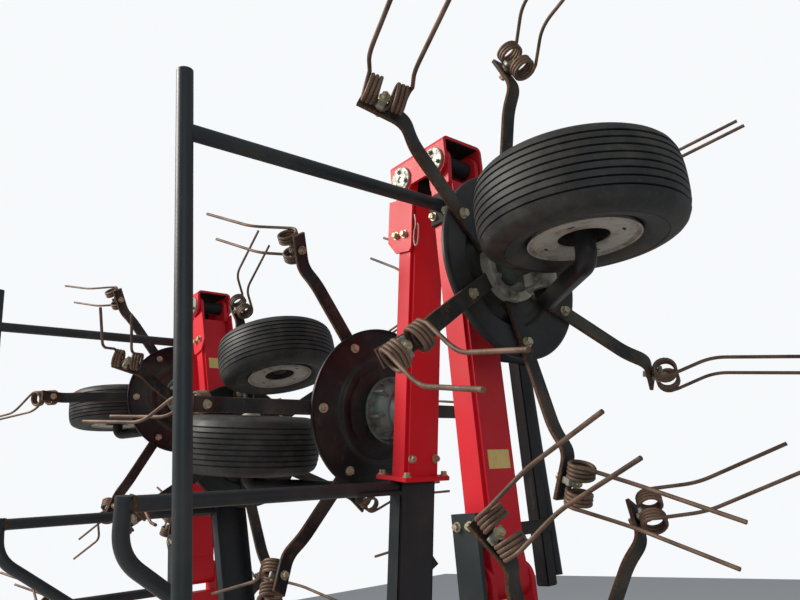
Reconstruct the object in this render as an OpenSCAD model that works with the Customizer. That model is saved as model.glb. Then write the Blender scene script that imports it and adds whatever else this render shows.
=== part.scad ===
// Folded hay tedder: mounted, eight tined rotors, wings folded for the road.
// Millimetres. X points to the right wing, -Y to the front, Z up, floor at z = 0.
// Everything is drawn in the working position and folded by the same turns as the real hinges.

/* [Wheels and ride height] */
// Outer diameter of a tyre
tyre_d = 410; // [380:5:440]
// Width of a tyre
tyre_w = 165; // [140:5:180]
// Seat diameter of a rim
rim_d = 204; // [190:2:220]
// Height from wheel axle up to rotor plane
axle_drop = 340; // [320:5:380]
// How far the wheels run ahead of the rotor axes
wheel_lead = 160; // [140:5:175]

/* [Rotors and tines] */
// Distance between neighbouring rotor axes
rotor_pitch = 1050; // [1030:5:1100]
// Diameter of a rotor disc
disc_d = 466; // [440:2:480]
// Radius at which the tines are clamped
tine_r = 507; // [495:1:520]
// Number of tine arms on a rotor
arm_count = 6; // [5:1:7]
// Width of a flat tine arm
arm_w = 40; // [34:1:46]
// Thickness of a flat tine arm
arm_t = 10; // [8:1:12]
// Diameter of the tine wire
wire_d = 9.5; // [8.5:0.5:10.5]
// Outer diameter of a tine coil
coil_d = 62; // [54:1:68]
// Number of turns in each coil
coil_turns = 4; // [3:1:5]
// Length of the straight part of a tine leg
leg_len = 215; // [190:5:240]

/* [Frame and beams] */
// Height of the wing tubes
beam_s = 80; // [76:2:90]
// Width of the wing tubes, front to back
beam_w = 120; // [110:2:130]
// Height from rotor plane up to beam axis
beam_drop = 126; // [120:1:140]
// Half the distance between the two fold hinges
hinge_x = 800; // [790:5:830]
// Distance from the wing's middle hinge to the rotor after it
mid_inset = 720; // [700:5:730]
// Distance from the fold pin of a link to the rotor before it
link_inset = 335; // [325:5:350]
// Distance between the two pins of a link
link_pitch = 130; // [120:1:140]
// Distance from the outer pin of a link to the last rotor
outer_inset = 635; // [620:5:650]
// Angle by which the wings lean inward when folded
wing_lean = 0; // [-1:0.1:1]
// Angle by which the outer sections lean away from the wing beams
outer_lean = 10; // [9:0.25:11]

/* [Headstock] */
// Distance between the lower hitch pins, shoulder to shoulder
hitch_w = 825; // [800:5:850]
// Height of the top link bore above the lower hitch pins
hitch_h = 610; // [580:5:640]
// Diameter of the lower hitch pins
hitch_pin_d = 28; // [26:0.5:30]
// Bore for the top link pin
top_bore_d = 25.5; // [25:0.5:27]
// Height of the lower hitch pins above the floor
hitch_z = 560; // [540:5:600]
// Distance from the rotor axes forward to the hitch
hitch_y = 900; // [880:5:940]

/* [Guards] */
// Outer diameter of the guard tubes
guard_d = 34; // [30:1:38]
// How far the guard tubes run ahead of the beams
guard_reach = 765; // [750:5:790]
// How far the outer hoop reaches past the last rotor axis
hoop_reach = 730; // [720:5:760]

/* [Hidden] */
$fn = 48;

// Footprint: the hitch plates reach furthest forward and the rear foot furthest back
plate_front = 45;
foot_s = 170;
rear_y = 620;
origin_shift = (hitch_y + plate_front - rear_y - foot_s / 2) / 2;

// Colours
red = [0.78, 0.10, 0.06];
black = [0.10, 0.10, 0.10];
grey = [0.22, 0.23, 0.24];
rust = [0.36, 0.22, 0.14];
cast = [0.50, 0.52, 0.46];
cream = [0.78, 0.74, 0.62];
zinc = [0.72, 0.66, 0.42];

// Heights in the working position
axle_z = tyre_d / 2;
disc_z = axle_z + axle_drop;
beam_z = disc_z + beam_drop;
beam_h = beam_s / 2;
beam_y = beam_w / 2;

// Places along the wing in the working position
x_c = rotor_pitch / 2;
x_0 = 1.5 * rotor_pitch;
x_1 = 2.5 * rotor_pitch;
mid_x = x_1 - mid_inset;
pin1_x = x_1 + link_inset;
pin2_x = pin1_x + link_pitch;
x_2 = pin2_x + outer_inset;

// Fold angles at rest
fold_a = 90 + wing_lean;
link_a = 90;
outer_a = 90 - wing_lean - outer_lean;

// Pins
hinge_pin_d = 40;
link_pin_d = 32;
pin_gap = 0.3;
side_gap = 1;
beam_t = 6;

// Rotor rows: name, x, phase of the first arm, hand of the tines. Wheel offsets: along, ahead, crank side
// The two outer wheels stand off differently, so that they pass each other when folded
ROTORS = [
    ["c", x_c, 0, 1],
    ["0", x_0, 30, -1],
    ["1", x_1, 0, 1],
    ["2", x_2, 30, -1]];
left_phase = 30;
right_outer_offset = [113, 236, 1];
left_outer_offset = [-223, 0, -1];

axle_d = 34;
hub_d = 86;
hub_gap = 0.4;
gear_d = 176;
gear_z = 14;
gear_foot = 16;
crank_d = 42;

function wheel_at(i, side) = i < 3 ? [0, wheel_lead, -1] : side > 0 ? right_outer_offset : left_outer_offset;
function phase(i, side) = ROTORS[i][2] + (side < 0 ? left_phase : 0);

// Turns about the real hinges, from the working position to the folded one
module turn_about(x, a) {
    translate([x, 0, beam_z]) rotate([0, -a, 0]) translate([-x, 0, -beam_z]) children();
}
module section0() { turn_about(hinge_x, fold_a) children(); }
module section1() { section0() children(); }
module link_place() { section1() turn_about(pin1_x, link_a) children(); }
module section2() { link_place() turn_about(pin2_x, outer_a) children(); }
module section(i) {
    if (i == 0) children();
    if (i == 1) section0() children();
    if (i == 2) section1() children();
    if (i == 3) section2() children();
}
module sided(side) {
    if (side > 0) children();
    else mirror([1, 0, 0]) children();
}
module at_rotor(i, side) {
    sided(side) section(i) translate([ROTORS[i][1], 0, disc_z]) children();
}
module rod_between(a, b, d) {
    v = b - a;
    l = norm(v);
    translate(a) rotate([0, acos(v[2] / l), atan2(v[1], v[0])]) cylinder(d = d, h = l);
}
// Round bar through points, with a slightly swollen ball at each bend
bend_swell = 1.05;
module bent_rod(points, d, swell = bend_swell) {
    for (k = [1 : len(points) - 1]) rod_between(points[k - 1], points[k], d);
    for (k = [1 : len(points) - 2]) translate(points[k]) sphere(d = d * swell);
}
module y_cylinder(d, h) { rotate([90, 0, 0]) cylinder(d = d, h = h, center = true); }
module x_cylinder(d, h) { rotate([0, 90, 0]) cylinder(d = d, h = h, center = true); }

// Rotor disc: shallow pressed cone with a ridge and an upturned lip
plate_t = 5;
flat_r = 55;
dish = 0.235;
ridge_r = disc_d * 0.29;
ridge_h = 8;
lip_h = 14;
function disc_under(r) = -dish * (r - flat_r);
module disc_plate() {
    r = disc_d / 2;
    low = disc_under(r - 10);
    rotate_extrude($fn = 96) polygon([
        [hub_d / 2 + hub_gap, 0], [flat_r, 0], [ridge_r - 15, disc_under(ridge_r - 15)],
        [ridge_r - 6, disc_under(ridge_r) + ridge_h], [ridge_r + 6, disc_under(ridge_r) + ridge_h],
        [ridge_r + 15, disc_under(ridge_r + 15)], [r - 10, low], [r - 3, low + 2], [r, low + 6], [r, low + lip_h],
        [r - plate_t, low + lip_h], [r - plate_t - 1, low + 8], [r - 12, low + plate_t + 0.4],
        [ridge_r + 17, disc_under(ridge_r + 17) + plate_t], [ridge_r + 8, disc_under(ridge_r) + ridge_h + plate_t],
        [ridge_r - 8, disc_under(ridge_r) + ridge_h + plate_t], [ridge_r - 17, disc_under(ridge_r - 17) + plate_t],
        [flat_r + 1, plate_t], [hub_d / 2 + hub_gap, plate_t]]);
}
// Bearing ring under the disc
ring_d = 176;
ring_low = 34;
module bearing_ring() {
    difference() {
        translate([0, 0, -ring_low]) cylinder(d = ring_d, h = ring_low - 3);
        translate([0, 0, -ring_low - 1]) cylinder(d = hub_d + 2 * hub_gap, h = ring_low + 2);
    }
}
// Flat arm: bolted along the cone, then a dip to a neck, then a rising pad over the tine's clamp
arm_in = 80;
arm_bend = 400;
arm_sink = 0.5;
pad_rise = 24;
pad_l = 104;
clamp_s = 57;
neck_drop = 116;
neck = [tine_r - clamp_s * cos(pad_rise), -neck_drop];
function toward(a) = [cos(a), sin(a)];
function mitre(a, b) = toward((a + b) / 2 + 90) / cos((b - a) / 2);
module tine_arm() {
    lift = arm_sink - arm_t / 2;
    line = [[arm_in, disc_under(arm_in) + lift], [arm_bend, disc_under(arm_bend) + lift], neck, neck + pad_l * toward(pad_rise)];
    turn = [for (k = [0 : 2]) atan2(line[k + 1][1] - line[k][1], line[k + 1][0] - line[k][0])];
    off = [mitre(turn[0], turn[0]), mitre(turn[0], turn[1]), mitre(turn[1], turn[2]), mitre(turn[2], turn[2])];
    rotate([90, 0, 0]) linear_extrude(height = arm_w, center = true) polygon(concat(
        [for (k = [0 : 3]) line[k] - off[k] * arm_t / 2], [for (k = [3 : -1 : 0]) line[k] + off[k] * arm_t / 2]));
}
module rotor_disc(i, side) {
    at_rotor(i, side) color(black) {
        disc_plate();
        bearing_ring();
        for (k = [0 : arm_count - 1]) rotate(k * 360 / arm_count + phase(i, side)) tine_arm();
    }
}

// Double coil tine under the pad: coils either side of the clamp, legs bent away and down
clamp_w = 24;
coil_yaw = 9;
coil_drop = 42;
leave_a = -35;
hook_out = 43;
hook_back = 64;
hook_down = 84;
flare = [0.373, 0.023, 0.928];
module coil() {
    r = coil_d / 2;
    w = wire_d / 2;
    rotate([0, 90, 0]) rotate_extrude($fn = 32) polygon(concat(
        [[r - wire_d, 0], [r - w, 0]],
        [for (k = [0 : coil_turns - 1]) each [[r, (k + 0.5) * wire_d - w * 0.5], [r, (k + 0.5) * wire_d + w * 0.5],
            [r - w * 0.5, (k + 1) * wire_d]]],
        [[r - wire_d, coil_turns * wire_d]]));
}
// The leg's shape is given along the arm, across it and up, so the coil's own turns are taken off first
module tine_leg(x, hand) {
    r = (coil_d - wire_d) / 2 - 0.6;
    bend = [hook_out, -hand * hook_back, -hook_down];
    tip = bend + leg_len * [flare[0], -hand * flare[1], -flare[2]];
    translate([x, hand * r * cos(leave_a), r * sin(leave_a)]) rotate(hand * coil_yaw) rotate([0, pad_rise, 0])
        bent_rod([[0, 0, 0], bend, tip], wire_d);
}
module tine(hand) {
    coil_l = coil_turns * wire_d;
    end_x = clamp_w / 2 + coil_l - wire_d / 2 - 0.4;
    translate([neck[0], 0, neck[1]]) rotate([0, -pad_rise, 0]) translate([clamp_s, 0, -coil_drop]) rotate(-hand * coil_yaw) {
        translate([clamp_w / 2, 0, 0]) coil();
        translate([-clamp_w / 2 - coil_l, 0, 0]) coil();
        x_cylinder(coil_d - 2 * wire_d + 1, clamp_w + 2 * wire_d);
        translate([-clamp_w / 2 + 1, -arm_w / 2 + 5, 0]) cube([clamp_w - 2, arm_w - 10, coil_drop - arm_t / 2]);
        for (x = [end_x, -end_x]) tine_leg(x, hand);
    }
}
module rotor_tines(i, side) {
    hand = ROTORS[i][3];
    at_rotor(i, side) color(rust)
        for (k = [0 : arm_count - 1]) rotate(k * 360 / arm_count + phase(i, side)) tine(hand);
}

// Gearbox above the disc, fixed hub through it, and the bent tube down to the wheel
foot_z = 86;
foot_h = 46;
crank_gap = 15;
wheel_hub_l = 92;
module drive(i, side) {
    w = wheel_at(i, side);
    elbow_x = w[0] + w[2] * (tyre_w / 2 + crank_gap + crank_d / 2);
    crank_z = -foot_z - foot_h / 2;
    gear_top = beam_drop - beam_h;
    far_end = w[0] - w[2] * (wheel_hub_l / 2 + 12);
    at_rotor(i, side) {
        color(cast) {
            rotate_extrude($fn = 64) polygon([
                [0, gear_z], [gear_d / 2 - 20, gear_z], [gear_d / 2, gear_z + gear_foot],
                [gear_d / 2, gear_top - 14], [gear_d / 2 - 12, gear_top], [0, gear_top]]);
            translate([0, 0, -foot_z]) cylinder(d = hub_d, h = foot_z + gear_z + 1);
            translate([0, 0, -foot_z - foot_h]) cylinder(d = hub_d + 26, h = foot_h + 1);
        }
        color(black) {
            bent_rod([[0, 0, crank_z], [elbow_x, 0, crank_z], [elbow_x, -w[1], -axle_drop],
                [w[0] + w[2] * (wheel_hub_l / 2 + 2), -w[1], -axle_drop]], crank_d, 1.08);
            rod_between([elbow_x, -w[1], -axle_drop], [far_end, -w[1], -axle_drop], axle_d);
            translate([far_end + w[2] * 5, -w[1], -axle_drop]) x_cylinder(axle_d + 16, 10);
        }
    }
}
module wheel_place(i, side) {
    w = wheel_at(i, side);
    at_rotor(i, side) translate([w[0], -w[1], -axle_drop]) children();
}
module tyre_solid() {
    r = tyre_d / 2;
    h = tyre_w / 2;
    seat = rim_d / 2;
    rotate([0, 90, 0]) rotate_extrude($fn = 72) polygon([
        [seat, -h + 22], [seat + 12, -h + 12], [seat + 34, -h], [r - 30, -h], [r - 10, -h + 14], [r - 2, -h + 34],
        [r, -16], [r, 16], [r - 2, h - 34], [r - 10, h - 14], [r - 30, h], [seat + 34, h], [seat + 12, h - 12],
        [seat, h - 22], [seat, h - 34], [seat + 30, h - 20], [r - 22, h - 22], [r - 12, 0], [r - 22, -h + 22],
        [seat + 30, -h + 20], [seat, -h + 34]]);
}
module rim_solid() {
    s = rim_d / 2 - pin_gap;
    h = tyre_w / 2;
    rotate([0, 90, 0]) rotate_extrude($fn = 72) polygon([
        [axle_d / 2 + pin_gap, -wheel_hub_l / 2], [30, -wheel_hub_l / 2], [30, -6], [s - 26, -6], [s - 10, -30], [s - 10, -h + 36], [s - 3, -h + 20],
        [s + 8, -h + 8], [s + 10, -h + 9.5], [s, -h + 21], [s, -h + 36], [s - 6, -30], [s - 22, 0], [s - 6, 30],
        [s, h - 36], [s, h - 21], [s + 10, h - 9.5], [s + 8, h - 8], [s - 3, h - 20], [s - 10, h - 36],
        [s - 10, 30], [s - 26, 6], [30, 6], [30, wheel_hub_l / 2], [axle_d / 2 + pin_gap, wheel_hub_l / 2]]);
}
module tyre(i, side) { wheel_place(i, side) color(black) tyre_solid(); }
module rim(i, side) { wheel_place(i, side) color(cream) rim_solid(); }

// Tube along X with open ends
module box_tube(x0, x1) {
    translate([x0, -beam_y, beam_z - beam_h]) difference() {
        cube([x1 - x0, beam_w, beam_s]);
        translate([-1, beam_t, beam_t]) cube([x1 - x0 + 2, beam_w - 2 * beam_t, beam_s - 2 * beam_t]);
    }
}
// Closed tube: end plates shut it
module closed_tube(x0, x1) {
    box_tube(x0, x1);
    for (x = [x0, x1 - beam_t]) translate([x, -beam_y, beam_z - beam_h]) cube([beam_t, beam_w, beam_s]);
}
// Eye plates of a hinge on both sides of a beam end
eye_t = 14;
eye_d = 86;
module eye_pair(x_eye, x_root, y_in, bore) {
    for (s = [-1, 1]) difference() {
        union() {
            translate([x_eye, s * (y_in + eye_t / 2), beam_z]) y_cylinder(eye_d, eye_t);
            translate([min(x_eye, x_root), s * (y_in + eye_t / 2) - eye_t / 2, beam_z - eye_d / 2])
                cube([abs(x_root - x_eye), eye_t, eye_d]);
        }
        translate([x_eye, 0, beam_z]) y_cylinder(bore, 4 * beam_w);
    }
}
// Hinge pin with a round cap at each end
module hinge_pin(x, d, l) {
    translate([x, 0, beam_z]) {
        y_cylinder(d, l);
        for (s = [-1, 1]) translate([0, s * (l / 2 + 3), 0]) y_cylinder(d + 22, 6);
    }
}
hinge_gap = 66;
// Inner tongue of a hinge, with a bore where another piece holds the pin
module tongue(x_eye, x_root, bore) {
    w = beam_w - 2 * side_gap;
    difference() {
        union() {
            translate([x_eye, 0, beam_z]) y_cylinder(eye_d - 8, w);
            translate([min(x_eye, x_root), -w / 2, beam_z - 30]) cube([abs(x_root - x_eye), w, 60]);
        }
        if (bore > 0) translate([x_eye, 0, beam_z]) y_cylinder(bore, 4 * beam_w);
    }
}
// Pair of upright plates with a bore, standing on top of a beam
module ears(x, h, foot, bore) {
    for (s = [-1, 1]) translate([x, s * (ear_gap + ear_t) / 2, beam_z]) difference() {
        union() {
            translate([0, 0, h]) y_cylinder(64, ear_t);
            translate([-foot / 2, -ear_t / 2, beam_h]) cube([foot, ear_t, h - beam_h]);
        }
        if (bore > 0) translate([0, 0, h]) y_cylinder(bore, 4 * ear_t);
    }
}
wing_end = 170;
flange_t = 12;
module wing_beam0() {
    x0 = hinge_x + hinge_gap;
    x1 = mid_x - hinge_gap;
    closed_tube(x0, x1);
    eye_pair(hinge_x, x0 + 40, beam_y, hinge_pin_d + 2 * pin_gap);
    eye_pair(mid_x, x1 - 40, beam_y, hinge_pin_d + 2 * pin_gap);
    ears(hinge_x + lever[0], lever[1], 90, 0);
}
module wing_beam1() {
    x0 = mid_x + hinge_gap;
    x1 = pin1_x - hinge_gap;
    closed_tube(x0, x1);
    tongue(mid_x, x0, 0);
    hinge_pin(mid_x, hinge_pin_d, beam_w + 2 * eye_t + 2);
    tongue(pin1_x, x1, link_pin_d + 2 * pin_gap);
}
module wing_beam2() {
    x0 = pin2_x + hinge_gap;
    x1 = x_2 + wing_end;
    closed_tube(x0, x1);
    tongue(pin2_x, x0, link_pin_d + 2 * pin_gap);
    translate([x1, -78, beam_z - 62]) cube([flange_t, 156, 124]);
}
module beam(i, side) {
    sided(side) section(i) color(red) {
        if (i == 1) wing_beam0();
        if (i == 2) wing_beam1();
        if (i == 3) wing_beam2();
    }
}
// Channel link: two side plates on the pins, joined by a web that is uppermost when folded
link_t = 12;
link_r = 44;
web_z = 52;
module link(side) {
    y_in = beam_y + side_gap;
    sided(side) link_place() color(red) translate([0, 0, beam_z]) {
        for (s = [-1, 1]) translate([pin1_x, s * (y_in + link_t / 2), 0]) {
            for (x = [0, link_pitch]) translate([x, 0, 0]) y_cylinder(2 * link_r, link_t);
            translate([0, -link_t / 2, -web_z]) cube([link_pitch, link_t, web_z + 26]);
            translate([-link_r, -link_t / 2, -web_z]) cube([2 * link_r + link_pitch, link_t, web_z - 10]);
        }
        translate([pin1_x - link_r, -y_in - link_t, -web_z - 8]) cube([2 * link_r + link_pitch, 2 * (y_in + link_t), 8]);
        for (x = [0, link_pitch]) translate([0, 0, -beam_z]) hinge_pin(pin1_x + x, link_pin_d, 2 * (y_in + link_t));
    }
}

// Front rail of a wing: a tube across the tines on two arms
rail_over = 10;
rail_arm_in = 127;
rail_l = 1160;
rail_low_in = 49;
foot_y = 88;
foot_plate = 12;
module guard1(side) {
    rail_x = pin1_x + rail_over;
    low_x = rail_x - rail_l + rail_low_in;
    x1 = mid_x + hinge_gap + 14;
    sided(side) section1() color(grey) translate([0, 0, beam_z]) {
        translate([rail_x - rail_l / 2, -guard_reach, 0]) x_cylinder(guard_d, rail_l);
        translate([pin1_x - rail_arm_in, (-guard_reach - beam_y) / 2, 0]) y_cylinder(guard_d, guard_reach - beam_y);
        translate([low_x, (-guard_reach - foot_y) / 2, 0]) y_cylinder(guard_d, guard_reach - foot_y);
        translate([low_x - 30, -foot_y - foot_plate, -38]) cube([x1 + 76 - low_x + 30, foot_plate, 76]);
        translate([x1, -foot_y - 1, -30]) cube([70, foot_y + 1 - beam_y, 60]);
    }
}
// Outer hoop: channel in line with the beam, tube ahead of the last rotor and round its end
channel_h = 46;
hoop_arm_x = 201;
hoop_turn = 100;
module guard2(side) {
    x_end = x_2 + wing_end + flange_t;
    hoop_x = x_2 + hoop_arm_x;
    sided(side) section2() color(grey) translate([0, 0, beam_z]) {
        difference() {
            translate([x_end, -beam_y, -channel_h / 2]) cube([x_2 + hoop_reach - x_end, beam_w, channel_h]);
            translate([x_end + 12, -beam_y + beam_t, -channel_h / 2 - 1])
                cube([hoop_reach, beam_w - 2 * beam_t, channel_h - beam_t + 1]);
        }
        bent_rod([[hoop_x, -beam_y, 0], [hoop_x, -guard_reach, 0], [hoop_x + hoop_turn, -guard_reach, 0],
            [x_2 + hoop_reach - 40, -guard_reach / 3, 0], [x_2 + hoop_reach - 40, -beam_y, 0]], guard_d);
    }
}

// Fold cylinder: barrel on the centre frame, rod eye between the plates of the wing lever
barrel_d = 80;
rod_d = 40;
barrel_pin = [150, beam_h + 79];
lever = [180, beam_h + 80];
ear_t = 12;
ear_gap = 44;
function turned(p, a) = [p[0] * cos(a) - p[1] * sin(a), p[0] * sin(a) + p[1] * cos(a)];
eye_rest = [hinge_x, 0] + turned(lever, fold_a);
cyl_v = eye_rest - barrel_pin;
cyl_l = norm(cyl_v);
cyl_a = atan2(cyl_v[1], cyl_v[0]);
module along_cylinder(side) {
    sided(side) translate([barrel_pin[0], 0, beam_z + barrel_pin[1]]) rotate([0, -cyl_a, 0]) children();
}
barrel_start = 42;
barrel_end = 60;
rod_start = 80;
barrel_pin_d = 30;
module barrel(side) {
    along_cylinder(side) color(black) difference() {
        union() {
            translate([(barrel_start + cyl_l - barrel_end) / 2, 0, 0])
                x_cylinder(barrel_d, cyl_l - barrel_end - barrel_start);
            y_cylinder(60, ear_gap - 2);
            translate([0, -ear_gap / 2 + 1, -22]) cube([barrel_start + 2, ear_gap - 2, 44]);
        }
        translate([(cyl_l + rod_start) / 2 - 10, 0, 0]) x_cylinder(rod_d + 2 * pin_gap, cyl_l - rod_start);
        y_cylinder(barrel_pin_d + 2 * pin_gap, 4 * ear_gap);
    }
}
module rod(side) {
    along_cylinder(side) color(zinc) {
        translate([(cyl_l + rod_start) / 2, 0, 0]) x_cylinder(rod_d, cyl_l - rod_start);
        translate([cyl_l, 0, 0]) y_cylinder(56, ear_gap - 2);
    }
}

// Centre frame: main beam with hinge tongues, two forward beams and the rear stand arm
frame_s = 76;
frame_x = 260;
head_depth = 60;
sleeve_s = 62;
sleeve_wall = 6;
stand_gap = 0.4;
sleeve_h = 180;
front_y = -hitch_y + 110;
front_x = frame_x + frame_s / 2 + sleeve_s / 2 + sleeve_wall - 1;
stand_top = beam_z + 110;
// Main gear case in front of the beam, with the nose that holds the input shaft
case_d = 150;
case_l = 140;
nose_d = 90;
nose_l = 30;
nose_in = 5;
module sleeve(x, y) {
    o = sleeve_s + 2 * sleeve_wall;
    translate([x, y, beam_z]) difference() {
        translate([-o / 2, -o / 2, -sleeve_h / 2]) cube([o, o, sleeve_h]);
        translate([-sleeve_s / 2, -sleeve_s / 2, -sleeve_h]) cube([sleeve_s, sleeve_s, 2 * sleeve_h]);
    }
}
module centre_frame() {
    x_end = hinge_x - hinge_gap;
    color(red) {
        closed_tube(-x_end, x_end);
        for (side = [-1, 1]) sided(side) {
            tongue(hinge_x, x_end, 0);
            hinge_pin(hinge_x, hinge_pin_d, beam_w + 2 * eye_t + 2);
            ears(barrel_pin[0], barrel_pin[1], 64, 0);
            translate([barrel_pin[0], 0, beam_z + barrel_pin[1]]) y_cylinder(barrel_pin_d, ear_gap + 1);
            translate([frame_x - frame_s / 2, -hitch_y + head_depth, beam_z - frame_s / 2])
                cube([frame_s, hitch_y - head_depth - beam_y, frame_s]);
        }
        translate([-frame_s / 2, beam_y, beam_z - 30]) cube([frame_s, rear_y - beam_y - sleeve_s / 2 - sleeve_wall, 60]);
        translate([-32, -seat_y, beam_z + beam_h - 1]) cube([64, 2 * seat_y, seat_h + 1]);
        sleeve(0, rear_y);
        sleeve(front_x, front_y);
    }
    color(cast) {
        translate([0, -beam_y - case_l / 2, beam_z]) y_cylinder(case_d, case_l);
        translate([0, -beam_y - case_l - nose_l / 2 + nose_in, beam_z]) y_cylinder(nose_d, nose_l);
    }
}
module input_shaft() {
    root = beam_y + case_l + nose_l - nose_in + input_gap;
    color(zinc) translate([0, -root - input_l / 2, beam_z]) y_cylinder(input_d, input_l);
}
input_d = 35;
input_l = 110;
input_gap = 0.5;

// Seat on the main beam for the headstock's brace
seat_y = 30;
seat_h = 90;

// Headstock: low cross tube, two posts, legs up to the top link and hitch pins on plates.
// The drive shaft runs between the posts, above the cross tube
head_s = 70;
pin_stub = 85;
top_gap = 52;
top_t = 16;
plate_w = 16;
module headstock() {
    y0 = -hitch_y;
    top_z = hitch_z + hitch_h;
    post_top = beam_z + frame_s / 2 + 6;
    color(red) {
        translate([-hitch_w / 2 + plate_w, y0 - 10, hitch_z - head_s / 2]) cube([hitch_w - 2 * plate_w, head_s, head_s]);
        for (s = [-1, 1]) {
            translate([s * (hitch_w - plate_w) / 2 - plate_w / 2, y0 - plate_front, hitch_z - 48]) cube([plate_w, 110, 110]);
            translate([s * frame_x - head_s / 2, y0 - 10, hitch_z]) cube([head_s, head_s, post_top - hitch_z]);
            rod_between([s * (frame_x - 8), y0 + 25, post_top - 36], [s * 50, y0 + 25, top_z - 40], 60);
            translate([s * (top_gap + top_t) / 2 - top_t / 2, y0 - 30, top_z - 110]) difference() {
                cube([top_t, 100, 150]);
                translate([top_t / 2, 30, 110]) x_cylinder(top_bore_d, 4 * top_t);
            }
        }
        translate([-60, y0 + 5, top_z - 125]) cube([120, 50, 30]);
        rod_between([0, y0 + 45, top_z - 110], [0, -seat_y - 9, beam_z + beam_h + seat_h - 34], 50);
        translate([-32, -seat_y - 12, beam_z + beam_h + 8]) cube([64, 12, seat_h - 10]);
    }
    color(zinc) for (s = [-1, 1])
        translate([s * (hitch_w / 2 + pin_stub / 2 - 4), y0, hitch_z]) x_cylinder(hitch_pin_d, pin_stub + 8);
}

// Parking stand: square leg with a foot plate, sliding up its sleeve
foot_t = 8;
module stand(x, y) {
    s = sleeve_s - 2 * stand_gap;
    color(grey) translate([x, y, 0]) {
        difference() {
            translate([-s / 2, -s / 2, foot_t - 1]) cube([s, s, stand_top - foot_t]);
            translate([-s / 2 + 5, -s / 2 + 5, foot_t]) cube([s - 10, s - 10, stand_top]);
        }
        translate([-foot_s / 2, -foot_s / 2, 0]) cube([foot_s, foot_s, foot_t]);
    }
}

// Origin on the floor, in the middle of the footprint
translate([0, origin_shift, 0]) {
    centre_frame();
    headstock();
    for (side = [-1, 1]) drive(0, side);  // centre_drives
    input_shaft();
    stand(front_x, front_y);  // front_stand
    stand(0, rear_y);  // rear_stand
    for (side = [-1, 1]) {
        letter = side > 0 ? "r" : "l";
        for (i = [1 : 3]) {
            tag = str(letter, ROTORS[i][0]);
            beam(i, side);
            drive(i, side);
        }
        for (i = [0 : 3]) {
            tag = i == 0 ? str("c", letter) : str(letter, ROTORS[i][0]);
            rotor_disc(i, side);
            rotor_tines(i, side);
            tyre(i, side);
            rim(i, side);
        }
        link(side);
        guard1(side);
        guard2(side);
        barrel(side);
        rod(side);
    }
}
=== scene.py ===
# %% [markdown]
# # Dressing a folded hay tedder
#
# The tedder stands in a yard with its wings up. Its steelwork comes from the CAD model and is
# already in place, so this lesson adds what a camera sees from close by: rounded and chipped
# edges, real coil springs, ribbed tyres, bolts, grime and light. Every measure is in metres,
# in the same frame as the CAD: X to the right wing, Y to the back, Z up.

import math

import bmesh
import bpy
from mathutils import Matrix, Vector


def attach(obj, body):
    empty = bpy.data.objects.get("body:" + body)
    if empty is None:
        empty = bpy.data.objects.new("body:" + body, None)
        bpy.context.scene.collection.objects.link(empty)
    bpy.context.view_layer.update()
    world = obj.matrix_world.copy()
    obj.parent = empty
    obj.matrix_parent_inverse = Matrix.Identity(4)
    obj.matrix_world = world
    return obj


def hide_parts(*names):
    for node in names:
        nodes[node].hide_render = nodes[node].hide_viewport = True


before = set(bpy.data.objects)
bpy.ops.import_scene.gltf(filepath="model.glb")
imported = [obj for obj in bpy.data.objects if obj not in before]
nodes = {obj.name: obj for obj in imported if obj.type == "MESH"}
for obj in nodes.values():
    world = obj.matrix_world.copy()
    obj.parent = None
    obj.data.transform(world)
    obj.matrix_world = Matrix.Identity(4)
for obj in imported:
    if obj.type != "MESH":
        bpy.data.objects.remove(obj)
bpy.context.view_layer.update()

# %% [markdown]
# ## Where the pieces go
#
# A wing is easiest to describe while it lies flat in its working position. Each section is then
# turned about the real hinges, just as the CAD source does. One matrix for each section and side
# carries a piece from the flat wing to its place in the folded machine.

# %% Turn the sections about their hinges
SHIFT = 0.120
AXLE_DROP = 0.340
DISC_Z = 0.545
BEAM_Z = 0.671
ROTOR_X = [0.525, 1.575, 2.625, 3.725]
HINGE_X = 0.800
MID_X = 1.905
PIN_1_X = 2.960
PIN_2_X = 3.090
FOLD = math.radians(90)
LINK = math.radians(90)
OUTER = math.radians(80)
BEAM_HALF_Y = 0.060
BEAM_HALF_Z = 0.040
GEAR_TOP = 0.086


def turn(x, angle):
    """A turn about a hinge that lies along Y at height BEAM_Z."""
    there = Matrix.Translation((x, 0, BEAM_Z))
    return there @ Matrix.Rotation(-angle, 4, "Y") @ there.inverted()


flat = Matrix.Identity(4)
inner = turn(HINGE_X, FOLD)
linked = inner @ turn(PIN_1_X, LINK)
SECTION = [flat, inner, inner, linked @ turn(PIN_2_X, OUTER)]


def standing(side, place):
    """A place on the right wing, moved to the machine's own side, 1 for right and -1 for left."""
    return Matrix.Translation((0, SHIFT, 0)) @ Matrix.Diagonal((side, 1, 1, 1)) @ place


def at_section(number, side):
    """From the flat right wing to section number of that side."""
    return standing(side, SECTION[number])


def at_link(side):
    """From the flat right wing to the link between its two upper beams."""
    return standing(side, linked)


def at_rotor(number, side):
    """The middle of a rotor's disc, with the rotor's own axis as Z."""
    return at_section(number, side) @ Matrix.Translation((ROTOR_X[number], 0, DISC_Z))


LETTER = {1: "r", -1: "l"}


def tag(number, side):
    """The name ending that the CAD gives to this place, such as r1 or cl."""
    letter = LETTER[side]
    return "c" + letter if number == 0 else letter + str(number - 1)


def section_body(number, side):
    """The body that carries the beam of a section."""
    return "frame" if number == 0 else ["inner_", "middle_", "outer_"][number - 1] + LETTER[side]


PLACES = [(number, side) for side in LETTER for number in range(4)]
ARMS = 6
HAND = [1, -1, 1, -1]
PHASE = [0, 30, 0, 30]
LEFT_PHASE = 30
print("rotor discs:", [tuple(round(v, 2) for v in at_rotor(n, s).translation) for n, s in PLACES])

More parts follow.
